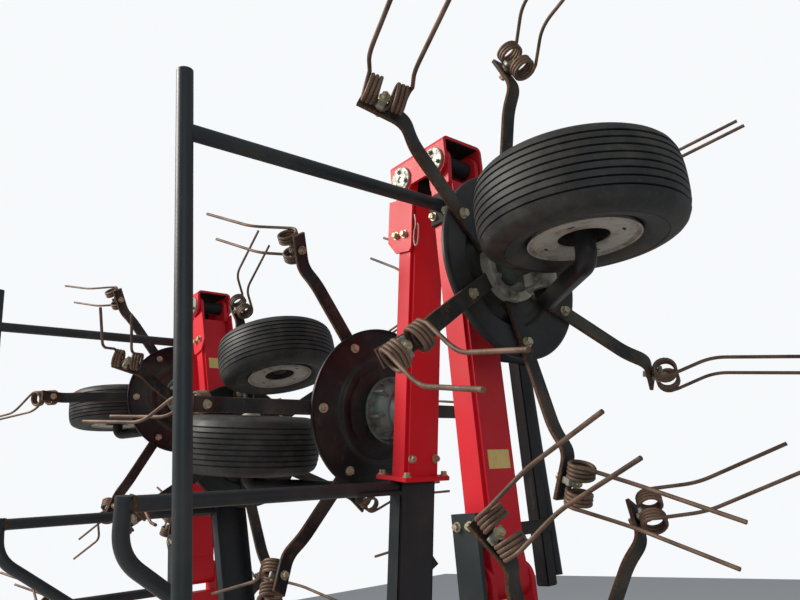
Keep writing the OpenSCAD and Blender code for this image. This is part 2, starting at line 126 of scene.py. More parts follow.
# %% [markdown]
# ## The camera
#
# The photographer stood at the front right corner with the camera at head height and held it a
# little crooked. The three directions below are the picture's right, its up, and backwards out
# of the picture, so they are the columns of the camera's own matrix.

# %% Set the camera
CAMERA_PLACE = Vector((1.969, -1.161, 1.956))
PICTURE_RIGHT = Vector((0.6463, 0.7586, -0.0826)).normalized()
PICTURE_BACK = Vector((0.7140, -0.6394, -0.2852)).normalized()
PICTURE_UP = PICTURE_BACK.cross(PICTURE_RIGHT).normalized()
PICTURE_RIGHT = PICTURE_UP.cross(PICTURE_BACK)

camera_data = bpy.data.cameras.new("camera")
camera_data.sensor_width = 36
camera_data.lens = 31.36
camera_data.clip_start = 0.05
camera = bpy.data.objects.new("camera", camera_data)
bpy.context.scene.collection.objects.link(camera)
columns = Matrix((PICTURE_RIGHT, PICTURE_UP, PICTURE_BACK)).transposed().to_4x4()
camera.matrix_world = Matrix.Translation(CAMERA_PLACE) @ columns
bpy.context.scene.camera = camera
print("camera looks up by", round(math.degrees(math.asin(-PICTURE_BACK.z)), 1), "degrees")

# %% [markdown]
# ## Writing a finish as sums
#
# Paint, rust and dust are mixtures, and a mixture reads best as an expression. A small class
# wraps one output of a node, so that masks can be added and multiplied like numbers. A second
# class holds one material and makes every other kind of node with a single method.


# %% A class for sums of sockets
class Mask:
    """A value in a node tree that can be used in Python sums."""

    def __init__(self, finish, socket):
        self.finish = finish
        self.socket = socket

    def _sum(self, operation, first, second, clamp=False):
        settings = {"operation": operation, "use_clamp": clamp}
        return self.finish.make("ShaderNodeMath", settings, {0: first, 1: second})["Value"]

    def __add__(self, other):
        return self._sum("ADD", self, other)

    def __radd__(self, other):
        return self._sum("ADD", other, self)

    def __sub__(self, other):
        return self._sum("SUBTRACT", self, other)

    def __mul__(self, other):
        return self._sum("MULTIPLY", self, other)

    def __rmul__(self, other):
        return self._sum("MULTIPLY", other, self)

    def clamped(self):
        return self._sum("ADD", self, 0.0, clamp=True)


# %% A class for one finish
class Finish:
    """One material: a Principled shader with the nodes that feed it."""

    def __init__(self, name):
        self.material = bpy.data.materials.new(name)
        self.material.use_nodes = True
        self.tree = self.material.node_tree
        self.shader = self.tree.nodes["Principled BSDF"]
        self.place = self.make("ShaderNodeTexCoord", {}, {})["Object"]

    def make(self, kind, settings, sockets):
        """A node of that kind. Settings come first, then the values or links of its sockets."""
        node = self.tree.nodes.new(kind)
        for key, value in settings.items():
            setattr(node, key, value)
        for key, value in sockets.items():
            self.feed(node.inputs[key], value)
        return {out.name: Mask(self, out) for out in reversed(node.outputs) if out.enabled}

    def feed(self, socket, value):
        """Links a mask, or sets a value. A colour is given as three parts."""
        if isinstance(value, Mask):
            self.tree.links.new(value.socket, socket)
        else:
            socket.default_value = (*value, 1.0) if socket.type == "RGBA" else value

    def noise(self, scale, detail=4.0, roughness=0.55, stretch=None):
        """Smooth noise between 0 and 1, scale in features for each metre."""
        place = self.place
        if stretch:
            place = self.make("ShaderNodeMapping", {}, {"Vector": place, "Scale": stretch})["Vector"]
        sizes = {"Scale": scale, "Detail": detail, "Roughness": roughness}
        return self.make("ShaderNodeTexNoise", {}, {"Vector": place, **sizes})["Fac"]

    def ramp(self, value, low, high):
        """0 below low, 1 above high, and a smooth rise between."""
        settings = {"interpolation_type": "SMOOTHSTEP"}
        sockets = {"Value": value, "From Min": low, "From Max": high}
        return self.make("ShaderNodeMapRange", settings, sockets)["Result"]

    def mix(self, mask, below, above):
        """Colour below where the mask is 0 and colour above where it is 1."""
        node = self.tree.nodes.new("ShaderNodeMix")
        node.data_type = "RGBA"
        for index, value in ((0, mask), (6, below), (7, above)):
            self.feed(node.inputs[index], value)
        return Mask(self, node.outputs[2])

    def bump(self, height, strength, distance):
        sockets = {"Height": height, "Strength": strength, "Distance": distance}
        return self.make("ShaderNodeBump", {}, sockets)["Normal"]

    def finish(self, colour, roughness, metallic=0.0, normal=None, coat=0.0, gloss=0.5):
        values = {"Base Color": colour, "Roughness": roughness, "Metallic": metallic,
                  "Specular IOR Level": gloss, "Coat Weight": coat, "Coat Roughness": 0.12}
        if normal:
            values["Normal"] = normal
        for key, value in values.items():
            self.feed(self.shader.inputs[key], value)
        return self.material


# %% [markdown]
# ## The paints
#
# The wings wear a bright signal red, still glossy, with a thin film of dust and a few chips down
# to bare steel. The rotors are black under rust. Each paint mixes three layers by noise: clean
# colour, a slightly faded tone in broad clouds, and dirt or rust where a fine noise passes a limit.


# %% Signal red
def red_paint(name, chips):
    f = Finish(name)
    clouds = f.ramp(f.noise(3.0, 5.0), 0.35, 0.7)
    film = f.ramp(f.noise(9.0, 6.0, 0.6), 0.48, 0.85) * 0.22
    specks = f.ramp(f.noise(260.0, 3.0, 0.7), chips, chips + 0.05)
    streaks = f.ramp(f.noise(22.0, 5.0, 0.65, stretch=(1.0, 1.0, 0.12)), 0.58, 0.8) * 0.25
    colour = f.mix(clouds, (0.74, 0.011, 0.024), (0.62, 0.010, 0.020))
    colour = f.mix(film, colour, (0.40, 0.13, 0.09))
    colour = f.mix(streaks, colour, (0.24, 0.030, 0.028))
    colour = f.mix(specks, colour, (0.16, 0.07, 0.04))
    rough = (0.44 + 0.5 * film + 0.35 * specks + 0.1 * clouds).clamped()
    fine = f.noise(420.0, 2.0)
    return f.finish(colour, rough, normal=f.bump(fine - 0.6 * specks, 0.08, 0.002), coat=0.05, gloss=0.32)


SIGNAL_RED = red_paint("signal red paint", 0.74)
WORN_RED = red_paint("worn red edges", 0.62)


# %% Black over rust
def black_paint(name, rusting, rough_base=0.45, dusty=0.35):
    f = Finish(name)
    patches = f.ramp(f.noise(14.0, 8.0, 0.68), rusting, rusting + 0.16)
    grain = f.ramp(f.noise(120.0, 5.0, 0.7), 0.40, 0.75)
    dust = f.ramp(f.noise(5.0, 6.0, 0.62), 0.40, 0.75) * dusty
    scratched = f.ramp(f.noise(34.0, 5.0, 0.7, stretch=(1.0, 1.0, 0.3)), 0.60, 0.70) * 0.5
    rust = f.mix(grain, (0.085, 0.038, 0.020), (0.21, 0.105, 0.055))
    colour = f.mix(dust, (0.012, 0.012, 0.013), (0.115, 0.102, 0.075))
    colour = f.mix(scratched, colour, (0.075, 0.070, 0.058))
    colour = f.mix(patches * 0.85, colour, rust)
    rough = (rough_base + 0.35 * patches + 0.2 * dust).clamped()
    return f.finish(colour, rough, normal=f.bump(grain * patches + 0.15 * grain, 0.25, 0.002), gloss=0.30)


ROTOR_BLACK = black_paint("black rotor paint", 0.60, 0.38)
ARM_BLACK = black_paint("worn black arms", 0.53, 0.48, 0.75)
ARM_EDGE = black_paint("rubbed arm edges", 0.34, 0.50, 0.9)
CRANK_BLACK = black_paint("black wheel arms", 0.63, 0.34)
# This black grime finish is also painted shade, on the dark sheets inside the tongues and the links.
GRIME_AND_SHADE = black_paint("black grease and grime", 0.66, 0.70, 0.2)


# %% Dark grey of the guards
def guard_paint():
    f = Finish("dark guard paint")
    dust = f.ramp(f.noise(7.0, 6.0, 0.6), 0.40, 0.8) * 0.30
    chips = f.ramp(f.noise(190.0, 4.0, 0.7), 0.70, 0.76)
    colour = f.mix(dust, (0.026, 0.032, 0.034), (0.11, 0.10, 0.085))
    colour = f.mix(chips, colour, (0.13, 0.065, 0.035))
    rough = (0.40 + 0.4 * dust + 0.3 * chips).clamped()
    return f.finish(colour, rough, normal=f.bump(f.noise(300.0, 2.0) - chips, 0.12, 0.002), gloss=0.35)


GUARD_GREY = guard_paint()


# %% Rusty spring steel with a painted sheen
def spring_steel():
    f = Finish("rusty spring steel with painted sheen")
    broad = f.noise(18.0, 6.0, 0.6)
    fine = f.noise(340.0, 5.0, 0.7)
    colour = f.mix(f.ramp(broad, 0.35, 0.65), (0.098, 0.056, 0.036), (0.215, 0.130, 0.085))
    # Pale specks of the fine grain: rust grain and a painted sheen.
    colour = f.mix(f.ramp(fine, 0.45, 0.75) * 0.6, colour, (0.30, 0.21, 0.15))
    colour = f.mix(f.ramp(f.noise(7.0, 3.0), 0.52, 0.72) * 0.7, colour, (0.050, 0.042, 0.036))
    rough = 0.50 + 0.18 * fine
    return f.finish(colour, rough, metallic=0.40, normal=f.bump(fine, 0.35, 0.0012))


SPRING_STEEL = spring_steel()


# %% Grey castings of the gearboxes
def casting(name, pale):
    f = Finish(name)
    grime = f.ramp(f.noise(16.0, 7.0, 0.65), 0.42, 0.72)
    sand = f.noise(380.0, 3.0, 0.6)
    colour = f.mix(grime, pale, (0.085, 0.073, 0.055))
    rough = 0.55 + 0.25 * grime
    return f.finish(colour, rough, metallic=0.15, normal=f.bump(sand, 0.35, 0.0018))


CASTING = casting("grey gearbox casting", (0.135, 0.165, 0.150))
PALE_CASTING = casting("pale greasy casting", (0.52, 0.49, 0.40))


# %% Tyre rubber, rim paint, zinc and bare steel
def tyre_rubber():
    f = Finish("dusty tyre rubber")
    dust = f.ramp(f.noise(12.0, 7.0, 0.62), 0.38, 0.80) * 0.75
    scuffs = f.ramp(f.noise(90.0, 4.0, 0.7), 0.55, 0.8) * 0.35
    colour = f.mix(dust, (0.017, 0.017, 0.017), (0.100, 0.090, 0.074))
    colour = f.mix(scuffs, colour, (0.15, 0.14, 0.12))
    soil = f.ramp(f.noise(5.0, 4.0, 0.6), 0.50, 0.72) * 0.45
    colour = f.mix(soil, colour, (0.085, 0.052, 0.038))
    rough = 0.50 + 0.3 * dust
    return f.finish(colour, rough.clamped(), normal=f.bump(f.noise(260.0, 3.0), 0.18, 0.0015), gloss=0.40)


def rim_paint():
    f = Finish("dirty rim paint")
    mud = f.ramp(f.noise(20.0, 7.0, 0.66), 0.44, 0.70)
    rust = f.ramp(f.noise(60.0, 5.0, 0.7), 0.62, 0.72)
    colour = f.mix(mud, (0.40, 0.37, 0.32), (0.21, 0.160, 0.110))
    colour = f.mix(rust, colour, (0.15, 0.065, 0.03))
    return f.finish(colour, (0.5 + 0.3 * mud).clamped(), normal=f.bump(mud - rust, 0.2, 0.002))


def zinc(name, colour, dull):
    f = Finish(name)
    stain = f.ramp(f.noise(70.0, 6.0, 0.65), 0.42, 0.70)
    mixed = f.mix(stain, colour, dull)
    return f.finish(mixed, (0.46 + 0.3 * stain).clamped(), metallic=0.45, normal=f.bump(stain, 0.1, 0.001))


TYRE_RUBBER = tyre_rubber()
RIM_PAINT = rim_paint()
YELLOW_ZINC = zinc("yellow zinc", (0.56, 0.50, 0.34), (0.24, 0.17, 0.10))
PALE_ZINC = zinc("pale zinc", (0.34, 0.34, 0.29), (0.17, 0.145, 0.10))
BARE_STEEL = zinc("polished rod", (0.62, 0.62, 0.62), (0.50, 0.49, 0.47))


def plain_sheet(name, colour, rough):
    f = Finish(name)
    film = f.ramp(f.noise(40.0, 5.0, 0.6), 0.45, 0.75) * 0.35
    dirty = tuple(0.55 * part + 0.05 for part in colour)
    return f.finish(f.mix(film, colour, dirty), (rough + 0.3 * film).clamped())


LABEL_YELLOW = plain_sheet("blank yellow label", (0.86, 0.62, 0.20), 0.5)
# The bore of a rim is rust darkened with the painted shade of its deep recess.
BORE_RUST_AND_SHADE = black_paint("rusty bore and painted shade", 0.46, 0.7, 0.2)
# The rims' slots are not cut but painted with the shade of a hole.
HOLE_SHADE = plain_sheet("painted shade of a hole", (0.006, 0.006, 0.006), 0.8)
print("finishes:", len(bpy.data.materials))

# %% [markdown]
# ## Paint for the CAD parts
#
# A CAD part whose shape is right stays as it is and only gets a finish in its material slots.

# %% Paint the CAD parts that stay
PAINT = [
    ("centre_frame", SIGNAL_RED), ("headstock", SIGNAL_RED), ("beam", SIGNAL_RED), ("link", SIGNAL_RED),
    ("centre_drives", CASTING), ("drive", CASTING), ("input_shaft", BARE_STEEL), ("front_stand", GUARD_GREY),
    ("rear_stand", GUARD_GREY), ("guard", GUARD_GREY), ("barrel", CRANK_BLACK), ("rod", BARE_STEEL),
    ("disc", ROTOR_BLACK), ("tines", SPRING_STEEL), ("tyre", TYRE_RUBBER), ("rim", RIM_PAINT)]


def finish_of(node):
    """The finish whose name the node's name begins with."""
    return next(material for start, material in PAINT if node.startswith(start))


for name, thing in nodes.items():
    material = finish_of(name)
    if not thing.material_slots:
        thing.data.materials.append(material)
    for slot in thing.material_slots:
        slot.material = material
print("painted", len(nodes), "CAD parts")

# %% [markdown]
# ## Tools for new pieces
#
# Most of the dressing is bent wire, turned rings and small boxes. One helper sweeps a round
# section along a path, one turns a profile about an axis, and one draws a box. The last ones put a
# finished mesh in its place, paint it and let it ride on its CAD body.

# %% Sweep, turn and place
def corner_curve(before, corner, after, radius, share, steps):
    """A short curve in place of a corner, along no more than a share of either side."""
    corner = Vector(corner)
    back = Vector(before) - corner
    on = Vector(after) - corner
    reach = min(radius, share * back.length, share * on.length)
    start = corner + back.normalized() * reach
    end = corner + on.normalized() * reach
    turns = [step / steps for step in range(steps + 1)]
    return [(1 - t) ** 2 * start + 2 * t * (1 - t) * corner + t * t * end for t in turns]


def rounded_path(points, radius, steps=5):
    """The path with each of its inner corners rounded."""
    path = [Vector(points[0])]
    for before, corner, after in zip(points, points[1:], points[2:]):
        path += corner_curve(before, corner, after, radius, 0.45, steps)
    return path + [Vector(points[-1])]


def sweep(bm, path, radius, sides=10):
    """A round bar along the path, closed at both ends."""
    path = [Vector(p) for p in path]
    along = [(b - a).normalized() for a, b in zip(path, path[1:])]
    tangents = [along[0]] + [(a + b).normalized() for a, b in zip(along, along[1:])] + [along[-1]]
    across = tangents[0].orthogonal().normalized()
    rings = []
    for point, tangent in zip(path, tangents):
        across = (across - tangent * across.dot(tangent)).normalized()
        other = tangent.cross(across)
        ring = []
        for k in range(sides):
            a = 2 * math.pi * k / sides
            ring.append(bm.verts.new(point + radius * (math.cos(a) * across + math.sin(a) * other)))
        rings.append(ring)
    for first, second in zip(rings, rings[1:]):
        for k in range(sides):
            after = (k + 1) % sides
            bm.faces.new((first[k], first[after], second[after], second[k]))
    bm.faces.new(list(reversed(rings[0])))
    bm.faces.new(rings[-1])


def lathe(bm, profile, steps, axis="Z"):
    """Turns a closed profile of (radius, height) about an axis."""
    rings = []
    for step in range(steps):
        a = 2 * math.pi * step / steps
        ring = []
        for radius, height in profile:
            place = (radius * math.cos(a), radius * math.sin(a), height)
            ring.append(bm.verts.new(place if axis == "Z" else (height, place[0], place[1])))
        rings.append(ring)
    count = len(profile)
    for first, second in zip(rings, rings[1:] + rings[:1]):
        for k in range(count):
            after = (k + 1) % count
            bm.faces.new((first[k], second[k], second[after], first[after]))


def block(bm, low, high):
    """A plain box between two corners."""
    made = bmesh.ops.create_cube(bm, size=1)["verts"]
    low, high = Vector(low), Vector(high)
    for vert in made:
        vert.co = Vector(((low[k] + high[k]) / 2 + vert.co[k] * (high[k] - low[k])) for k in range(3))


def chamfered(bm, width, segments=1):
    """Takes the corners off every edge drawn so far."""
    bmesh.ops.bevel(bm, geom=bm.edges[:], offset=width, segments=segments, affect="EDGES")


def join(target, bm, matrix=Matrix.Identity(4)):
    """Adds one small mesh to another at a place."""
    bmesh.ops.transform(bm, matrix=matrix, verts=bm.verts)
    part = bpy.data.meshes.new("part")
    bm.to_mesh(part)
    bm.free()
    target.from_mesh(part)
    bpy.data.meshes.remove(part)


# %% Finish a mesh and put it on its body
def finished_mesh(bm, name, matrix, materials, smooth):
    """A mesh in its place, with its faces outwards and smooth up to an angle."""
    bmesh.ops.remove_doubles(bm, verts=bm.verts, dist=1e-6)
    bmesh.ops.transform(bm, matrix=matrix, verts=bm.verts)
    bmesh.ops.recalc_face_normals(bm, faces=bm.faces)
    for face in bm.faces:
        face.smooth = True
    mesh = bpy.data.meshes.new(name)
    bm.to_mesh(mesh)
    bm.free()
    for material in materials:
        mesh.materials.append(material)
    mesh.set_sharp_from_angle(angle=math.radians(smooth))
    return mesh


def show(mesh, name, body):
    """Puts a finished mesh in the scene and lets it ride on its body."""
    thing = bpy.data.objects.new(name, mesh)
    bpy.context.scene.collection.objects.link(thing)
    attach(thing, body)
    return thing


def put(bm, name, matrix, materials, body, smooth=30, instead=None):
    """Finishes a piece and shows it, instead of a CAD part if one is named."""
    thing = show(finished_mesh(bm, name.replace("_", " "), matrix, materials, smooth), name, body)
    if instead:
        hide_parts(instead)
    return thing


def on_rotor(bm, name, number, side, materials, smooth, instead=None):
    """A piece drawn about its rotor's own axis, which turns with it."""
    here = tag(number, side)
    return put(bm, name + "_" + here, at_rotor(number, side), materials, "rotor_" + here, smooth,
               instead and instead + "_" + here)


def on_section(bm, name, number, side, material, smooth=30, instead=None):
    """A piece drawn on the flat wing, put where its section stands."""
    body = section_body(number, side)
    return put(bm, name, at_section(number, side), [material], body, smooth, instead)


def facing(point, normal):
    """A frame at the point whose Z is the normal."""
    turned = Vector(normal).to_track_quat("Z", "Y").to_matrix().to_4x4()
    return Matrix.Translation(point) @ turned


# %% [markdown]
# ## A ring of anything
#
# Six tines on a rotor, six bolts round a bearing and eight ribs on a gearbox are all one piece
# repeated round an axis. One Geometry Nodes tree does it: points on a circle, an instance on each
# point turned by its share of the circle, then Realize Instances and Set Material.

# %% Build the ring tree
def ring_tree():
    tree = bpy.data.node_groups.new("ring of pieces", "GeometryNodeTree")
    wanted = [("Geometry", "NodeSocketGeometry"), ("Count", "NodeSocketInt"), ("Radius", "NodeSocketFloat"),
              ("Phase", "NodeSocketFloat"), ("Material", "NodeSocketMaterial")]
    for name, kind in wanted:
        tree.interface.new_socket(name=name, in_out="INPUT", socket_type=kind)
    tree.interface.new_socket(name="Geometry", in_out="OUTPUT", socket_type="NodeSocketGeometry")
    make = tree.nodes.new
    link = tree.links.new
    given = make("NodeGroupInput")
    circle = make("GeometryNodeMeshCircle")
    link(given.outputs["Count"], circle.inputs["Vertices"])
    link(given.outputs["Radius"], circle.inputs["Radius"])
    index = make("GeometryNodeInputIndex")
    share = make("ShaderNodeMath")
    share.operation = "DIVIDE"
    link(index.outputs[0], share.inputs[0])
    link(given.outputs["Count"], share.inputs[1])
    whole = make("ShaderNodeMath")
    whole.operation = "MULTIPLY"
    whole.inputs[1].default_value = 2 * math.pi
    link(share.outputs[0], whole.inputs[0])
    turned = make("ShaderNodeCombineXYZ")
    link(whole.outputs[0], turned.inputs["Z"])
    place = make("GeometryNodeInstanceOnPoints")
    link(circle.outputs["Mesh"], place.inputs["Points"])
    link(given.outputs["Geometry"], place.inputs["Instance"])
    link(turned.outputs[0], place.inputs["Rotation"])
    solid = make("GeometryNodeRealizeInstances")
    link(place.outputs[0], solid.inputs[0])
    phase = make("ShaderNodeCombineXYZ")
    link(given.outputs["Phase"], phase.inputs["Z"])
    swing = make("GeometryNodeTransform")
    link(solid.outputs[0], swing.inputs["Geometry"])
    link(phase.outputs[0], swing.inputs["Rotation"])
    paint = make("GeometryNodeSetMaterial")
    link(swing.outputs[0], paint.inputs["Geometry"])
    link(given.outputs["Material"], paint.inputs["Material"])
    result = make("NodeGroupOutput")
    link(paint.outputs[0], result.inputs[0])
    return tree


RING = ring_tree()


def ring_of(bm, count, radius, phase, material, target, number=0):
    """Repeats the piece in bm round Z and adds it to the mesh target, as finish number so-and-so."""
    mesh = bpy.data.meshes.new("one of a ring")
    bm.to_mesh(mesh)
    bm.free()
    thing = bpy.data.objects.new("one of a ring", mesh)
    bpy.context.scene.collection.objects.link(thing)
    modifier = thing.modifiers.new("ring", "NODES")
    modifier.node_group = RING
    values = {"Count": count, "Radius": radius, "Phase": phase, "Material": material}
    for item in RING.interface.items_tree:
        if item.in_out == "INPUT" and item.name in values:
            modifier[item.identifier] = values[item.name]
    depsgraph = bpy.context.evaluated_depsgraph_get()
    depsgraph.update()
    made = bpy.data.meshes.new_from_object(thing.evaluated_get(depsgraph))
    before = len(target.faces)
    target.from_mesh(made)
    target.faces.ensure_lookup_table()
    for face in target.faces[before:]:
        face.material_index = number
    bpy.data.objects.remove(thing)
    bpy.data.meshes.remove(mesh)
    bpy.data.meshes.remove(made)
    return target


# %% [markdown]
# ## The spring tines
#
# Each arm carries one double tine of spring steel. The wire comes up one leg, winds outside-in
# through the first coil, makes a loop round the clamp bolt, winds out through the second coil
# and goes down the other leg. Because it is one wire, it is one path: two straight legs, two
# helices and a loop, swept with a round section, then repeated six times by the ring tree.

# %% Wind one double tine
NECK = Vector((0.4549, 0, -0.116))
PAD_RISE = math.radians(24)
CLAMP_AT = 0.057
COIL_DROP = 0.042
COIL_YAW = math.radians(9)
WIRE_R = 0.0045
COIL_R = 0.0262
COIL_NEAR = 0.0150
COIL_FAR = 0.0450
LEAVE = math.radians(-35)
COIL_TURNS = 3 + 125 / 360
HOOK = (0.043, 0.064, 0.084)
FLARE = (0.373, 0.023, -0.928)
LEG = 0.215


def pad_frame(hand=0):
    """The middle of the coils: X runs out along the pad, Z stands on it."""
    pad = Matrix.Translation(NECK) @ Matrix.Rotation(-PAD_RISE, 4, "Y")
    return pad @ Matrix.Translation((CLAMP_AT, 0, -COIL_DROP)) @ Matrix.Rotation(-hand * COIL_YAW, 4, "Z")


def tine_half(end, hand):
    """From the middle of the clamp loop out to the tip of one leg."""
    place = pad_frame(hand)
    loop = [(0, -hand * 0.017, 0.0278), (end * 0.006, -hand * 0.015, 0.0278),
            (end * 0.012, -hand * 0.008, 0.0272)]
    steps = 64
    for step in range(steps + 1):
        t = step / steps
        angle = LEAVE + 2 * math.pi * COIL_TURNS * (1 - t)
        x = end * (COIL_NEAR + (COIL_FAR - COIL_NEAR) * t)
        loop.append((x, hand * COIL_R * math.cos(angle), COIL_R * math.sin(angle)))
    path = [place @ Vector(point) for point in loop]
    start = path[-1]
    along = (start - path[-2]).normalized()
    bend = start + Vector((HOOK[0], -hand * HOOK[1], -HOOK[2]))
    tip = bend + LEG * Vector((FLARE[0], -hand * FLARE[1], FLARE[2]))
    lead = start + 0.012 * along
    path += rounded_path([lead, lead + (bend - lead) * 0.25, bend, tip], 0.055, 7)
    return path


def double_tine(hand):
    bm = bmesh.new()
    out = tine_half(1, hand)
    back = tine_half(-1, hand)
    sweep(bm, list(reversed(out)) + back[1:], WIRE_R, 8)
    return bm


# %% Wind the tines of every rotor
def rotor_phase(number, side):
    return math.radians(PHASE[number] + (0 if side > 0 else LEFT_PHASE))


for number, side in PLACES:
    wires = bmesh.new()
    ring_of(double_tine(HAND[number]), ARMS, 0.0, rotor_phase(number, side), SPRING_STEEL, wires)
    spring = on_rotor(wires, "spring_tines", number, side, [SPRING_STEEL], 60, "tines")
print("one rotor's tines:", len(spring.data.polygons), "faces")

# %% [markdown]
# ## One bolt for everything
#
# A hexagon head on a round washer is drawn once and used all over the machine.

# %% Draw a bolt
WASHER_T = 0.003


def bolt(bm, place, size, height, up=1):
    """A hexagon head on a washer, standing along Z."""
    washer = bmesh.ops.create_cone(bm, cap_ends=True, segments=20, radius1=size, radius2=size, depth=WASHER_T)
    head = bmesh.ops.create_cone(bm, cap_ends=True, segments=6, radius1=size * 0.74, radius2=size * 0.70,
                                 depth=height)
    for made, rise in ((washer, WASHER_T / 2), (head, WASHER_T + height / 2)):
        bmesh.ops.translate(bm, verts=made["verts"], vec=Vector(place) + Vector((0, 0, up * rise)))


def single_bolt(place, size, height, up=1):
    bm = bmesh.new()
    bolt(bm, place, size, height, up)
    return bm


# %% [markdown]
# ## The rotor discs and their arms
#
# A rotor is a shallow pressed cone with a ridge and an upturned lip. Six flat bars are bolted
# under it: each follows the cone, dips to a neck and rises again to a pad for its tine. The CAD
# solids show these bends as kinks. Here the same lines are rounded, as a press brake leaves them,
# and the narrow edges of the bars get a rubbed finish, because crop and stones wear them first.

# %% Round the corners of an outline
def soft_corners(points, radius, steps=3):
    """A closed outline with each corner replaced by a short curve."""
    rounded = []
    for k, corner in enumerate(points):
        rounded += corner_curve(points[k - 1], corner, points[(k + 1) % len(points)], radius, 0.4, steps)
    return [tuple(point) for point in rounded]


# %% Press the disc
DISH = 0.235
FLAT_R = 0.055
PLATE = 0.005
DISC_R = 0.233
RIDGE_R = 0.135
RIDGE_H = 0.008
HUB_BORE = 0.0434


def under_disc(radius):
    """Height of the sloping disc's underside, where an arm lies against it."""
    return -DISH * (radius - FLAT_R)


def disc_outline():
    ridge = under_disc(RIDGE_R) + RIDGE_H
    rim = under_disc(DISC_R - 0.010)
    below = [(HUB_BORE, 0), (FLAT_R, 0), (RIDGE_R - 0.015, under_disc(RIDGE_R - 0.015)),
             (RIDGE_R - 0.006, ridge), (RIDGE_R + 0.006, ridge),
             (RIDGE_R + 0.015, under_disc(RIDGE_R + 0.015)), (DISC_R - 0.010, rim),
             (DISC_R - 0.003, rim + 0.002), (DISC_R, rim + 0.006), (DISC_R, rim + 0.014)]
    above = [(DISC_R - PLATE, rim + 0.014), (DISC_R - 0.006, rim + 0.008), (DISC_R - 0.012, rim + 0.0054),
             (RIDGE_R + 0.017, under_disc(RIDGE_R + 0.017) + PLATE), (RIDGE_R + 0.008, ridge + PLATE),
             (RIDGE_R - 0.008, ridge + PLATE), (RIDGE_R - 0.017, under_disc(RIDGE_R - 0.017) + PLATE),
             (FLAT_R + 0.001, PLATE), (HUB_BORE, PLATE)]
    return soft_corners(below + above, 0.005)


# %% Bend the arms
ARM_IN = 0.080
ARM_BEND = 0.400
ARM_W = 0.040
ARM_T = 0.010
ARM_SEAT = 0.0005
ARM_EASE = 0.0016
PAD_L = 0.104


def arm_line():
    """The middle line of an arm in the X-Z plane, with rounded bends."""
    lift = ARM_SEAT - ARM_T / 2
    end = NECK + PAD_L * Vector((math.cos(PAD_RISE), 0, math.sin(PAD_RISE)))
    corners = [(ARM_IN, 0, under_disc(ARM_IN) + lift), (ARM_BEND, 0, under_disc(ARM_BEND) + lift),
               tuple(NECK), tuple(end)]
    return rounded_path(corners, 0.024, 6)


def arm_strips():
    """The bar's broad faces as one mesh, and its narrow faces and corners as another."""
    broad, narrow = bmesh.new(), bmesh.new()
    half, thick, ease = ARM_W / 2, ARM_T / 2, ARM_EASE
    section = [(-half + ease, -thick), (half - ease, -thick), (half, -thick + ease), (half, thick - ease),
               (half - ease, thick), (-half + ease, thick), (-half, thick - ease), (-half, -thick + ease)]
    line = arm_line()
    rings = []
    for k, point in enumerate(line):
        along = (line[min(k + 1, len(line) - 1)] - line[max(k - 1, 0)]).normalized()
        up = Vector((-along.z, 0, along.x))
        rings.append([point + Vector((0, a, 0)) + b * up for a, b in section])
    for first, second in zip(rings, rings[1:]):
        for k in range(8):
            corners = [first[k], first[(k + 1) % 8], second[(k + 1) % 8], second[k]]
            target = narrow if k % 2 or k in (2, 6) else broad
            target.faces.new([target.verts.new(corner) for corner in corners])
    for ring in (rings[0], rings[-1]):
        narrow.faces.new([narrow.verts.new(corner) for corner in ring])
    return broad, narrow


# %% Put the rotors together
RING_OUT, RING_IN, RING_FOOT = 0.0885, 0.0660, -0.0350


def bearing_outline():
    outline = [(RING_OUT, -0.003), (RING_OUT, RING_FOOT), (RING_IN, RING_FOOT), (RING_IN, -0.0140),
               (0.0445, -0.0140), (0.0445, -0.003)]
    return soft_corners(outline, 0.0015, 1)


for number, side in PLACES:
    phase = rotor_phase(number, side)
    disc = bmesh.new()
    lathe(disc, disc_outline(), 96)
    pressed = on_rotor(disc, "pressed_disc", number, side, [ROTOR_BLACK], 34, "disc")
    arms = bmesh.new()
    broad, narrow = arm_strips()
    ring_of(broad, ARMS, 0.0, phase, ARM_BLACK, arms)
    ring_of(narrow, ARMS, 0.0, phase, ARM_EDGE, arms, 1)
    bars = on_rotor(arms, "flat_arms", number, side, [ARM_BLACK, ARM_EDGE], 32, "disc")
    ring = bmesh.new()
    lathe(ring, bearing_outline(), 72)
    ring_of(single_bolt((0, 0, RING_FOOT), 0.0100, 0.007, -1), ARMS, 0.078, phase, PALE_CASTING, ring)
    on_rotor(ring, "bearing_ring", number, side, [PALE_CASTING], 30, "disc")
print("one rotor: disc", len(pressed.data.polygons), "arms", len(bars.data.polygons), "faces")

# %% [markdown]
# ## Clamps and bolts
#
# A pressed plate holds the loop of each tine up against the pad of its arm, and one long bolt goes
# through both. One more bolt holds each arm to the disc, with its head above and its nut below.
# These are two small meshes, and the ring tree repeats them.

# %% Hardware of the rotors
ARM_BOLT_R = 0.195
CLAMP_FOOT = 0.0130


def through_clamp():
    """The long bolt of one tine: its head on the pad and its nut under the clamp plate."""
    bm = bmesh.new()
    bolt(bm, (0, 0, COIL_DROP + 0.005), 0.0125, 0.009)
    shank = bmesh.ops.create_cone(bm, cap_ends=True, segments=10, radius1=0.005, radius2=0.005, depth=0.050)
    bmesh.ops.translate(bm, verts=shank["verts"], vec=(0, 0, COIL_DROP - 0.020))
    bolt(bm, (0, 0, CLAMP_FOOT), 0.012, 0.009, -1)
    return bm


def rotor_hardware():
    """The bolts of one arm: the long one, and a head and a nut on the disc."""
    bm = bmesh.new()
    join(bm, through_clamp(), pad_frame())
    slope = Matrix.Rotation(math.atan(DISH), 4, "Y")
    for rise, height, up in ((PLATE, 0.009, 1), (ARM_SEAT - ARM_T, 0.010, -1)):
        seat = Matrix.Translation((ARM_BOLT_R, 0, under_disc(ARM_BOLT_R) + rise)) @ slope
        join(bm, single_bolt((0, 0, 0), 0.0130, height, up), seat)
    return bm


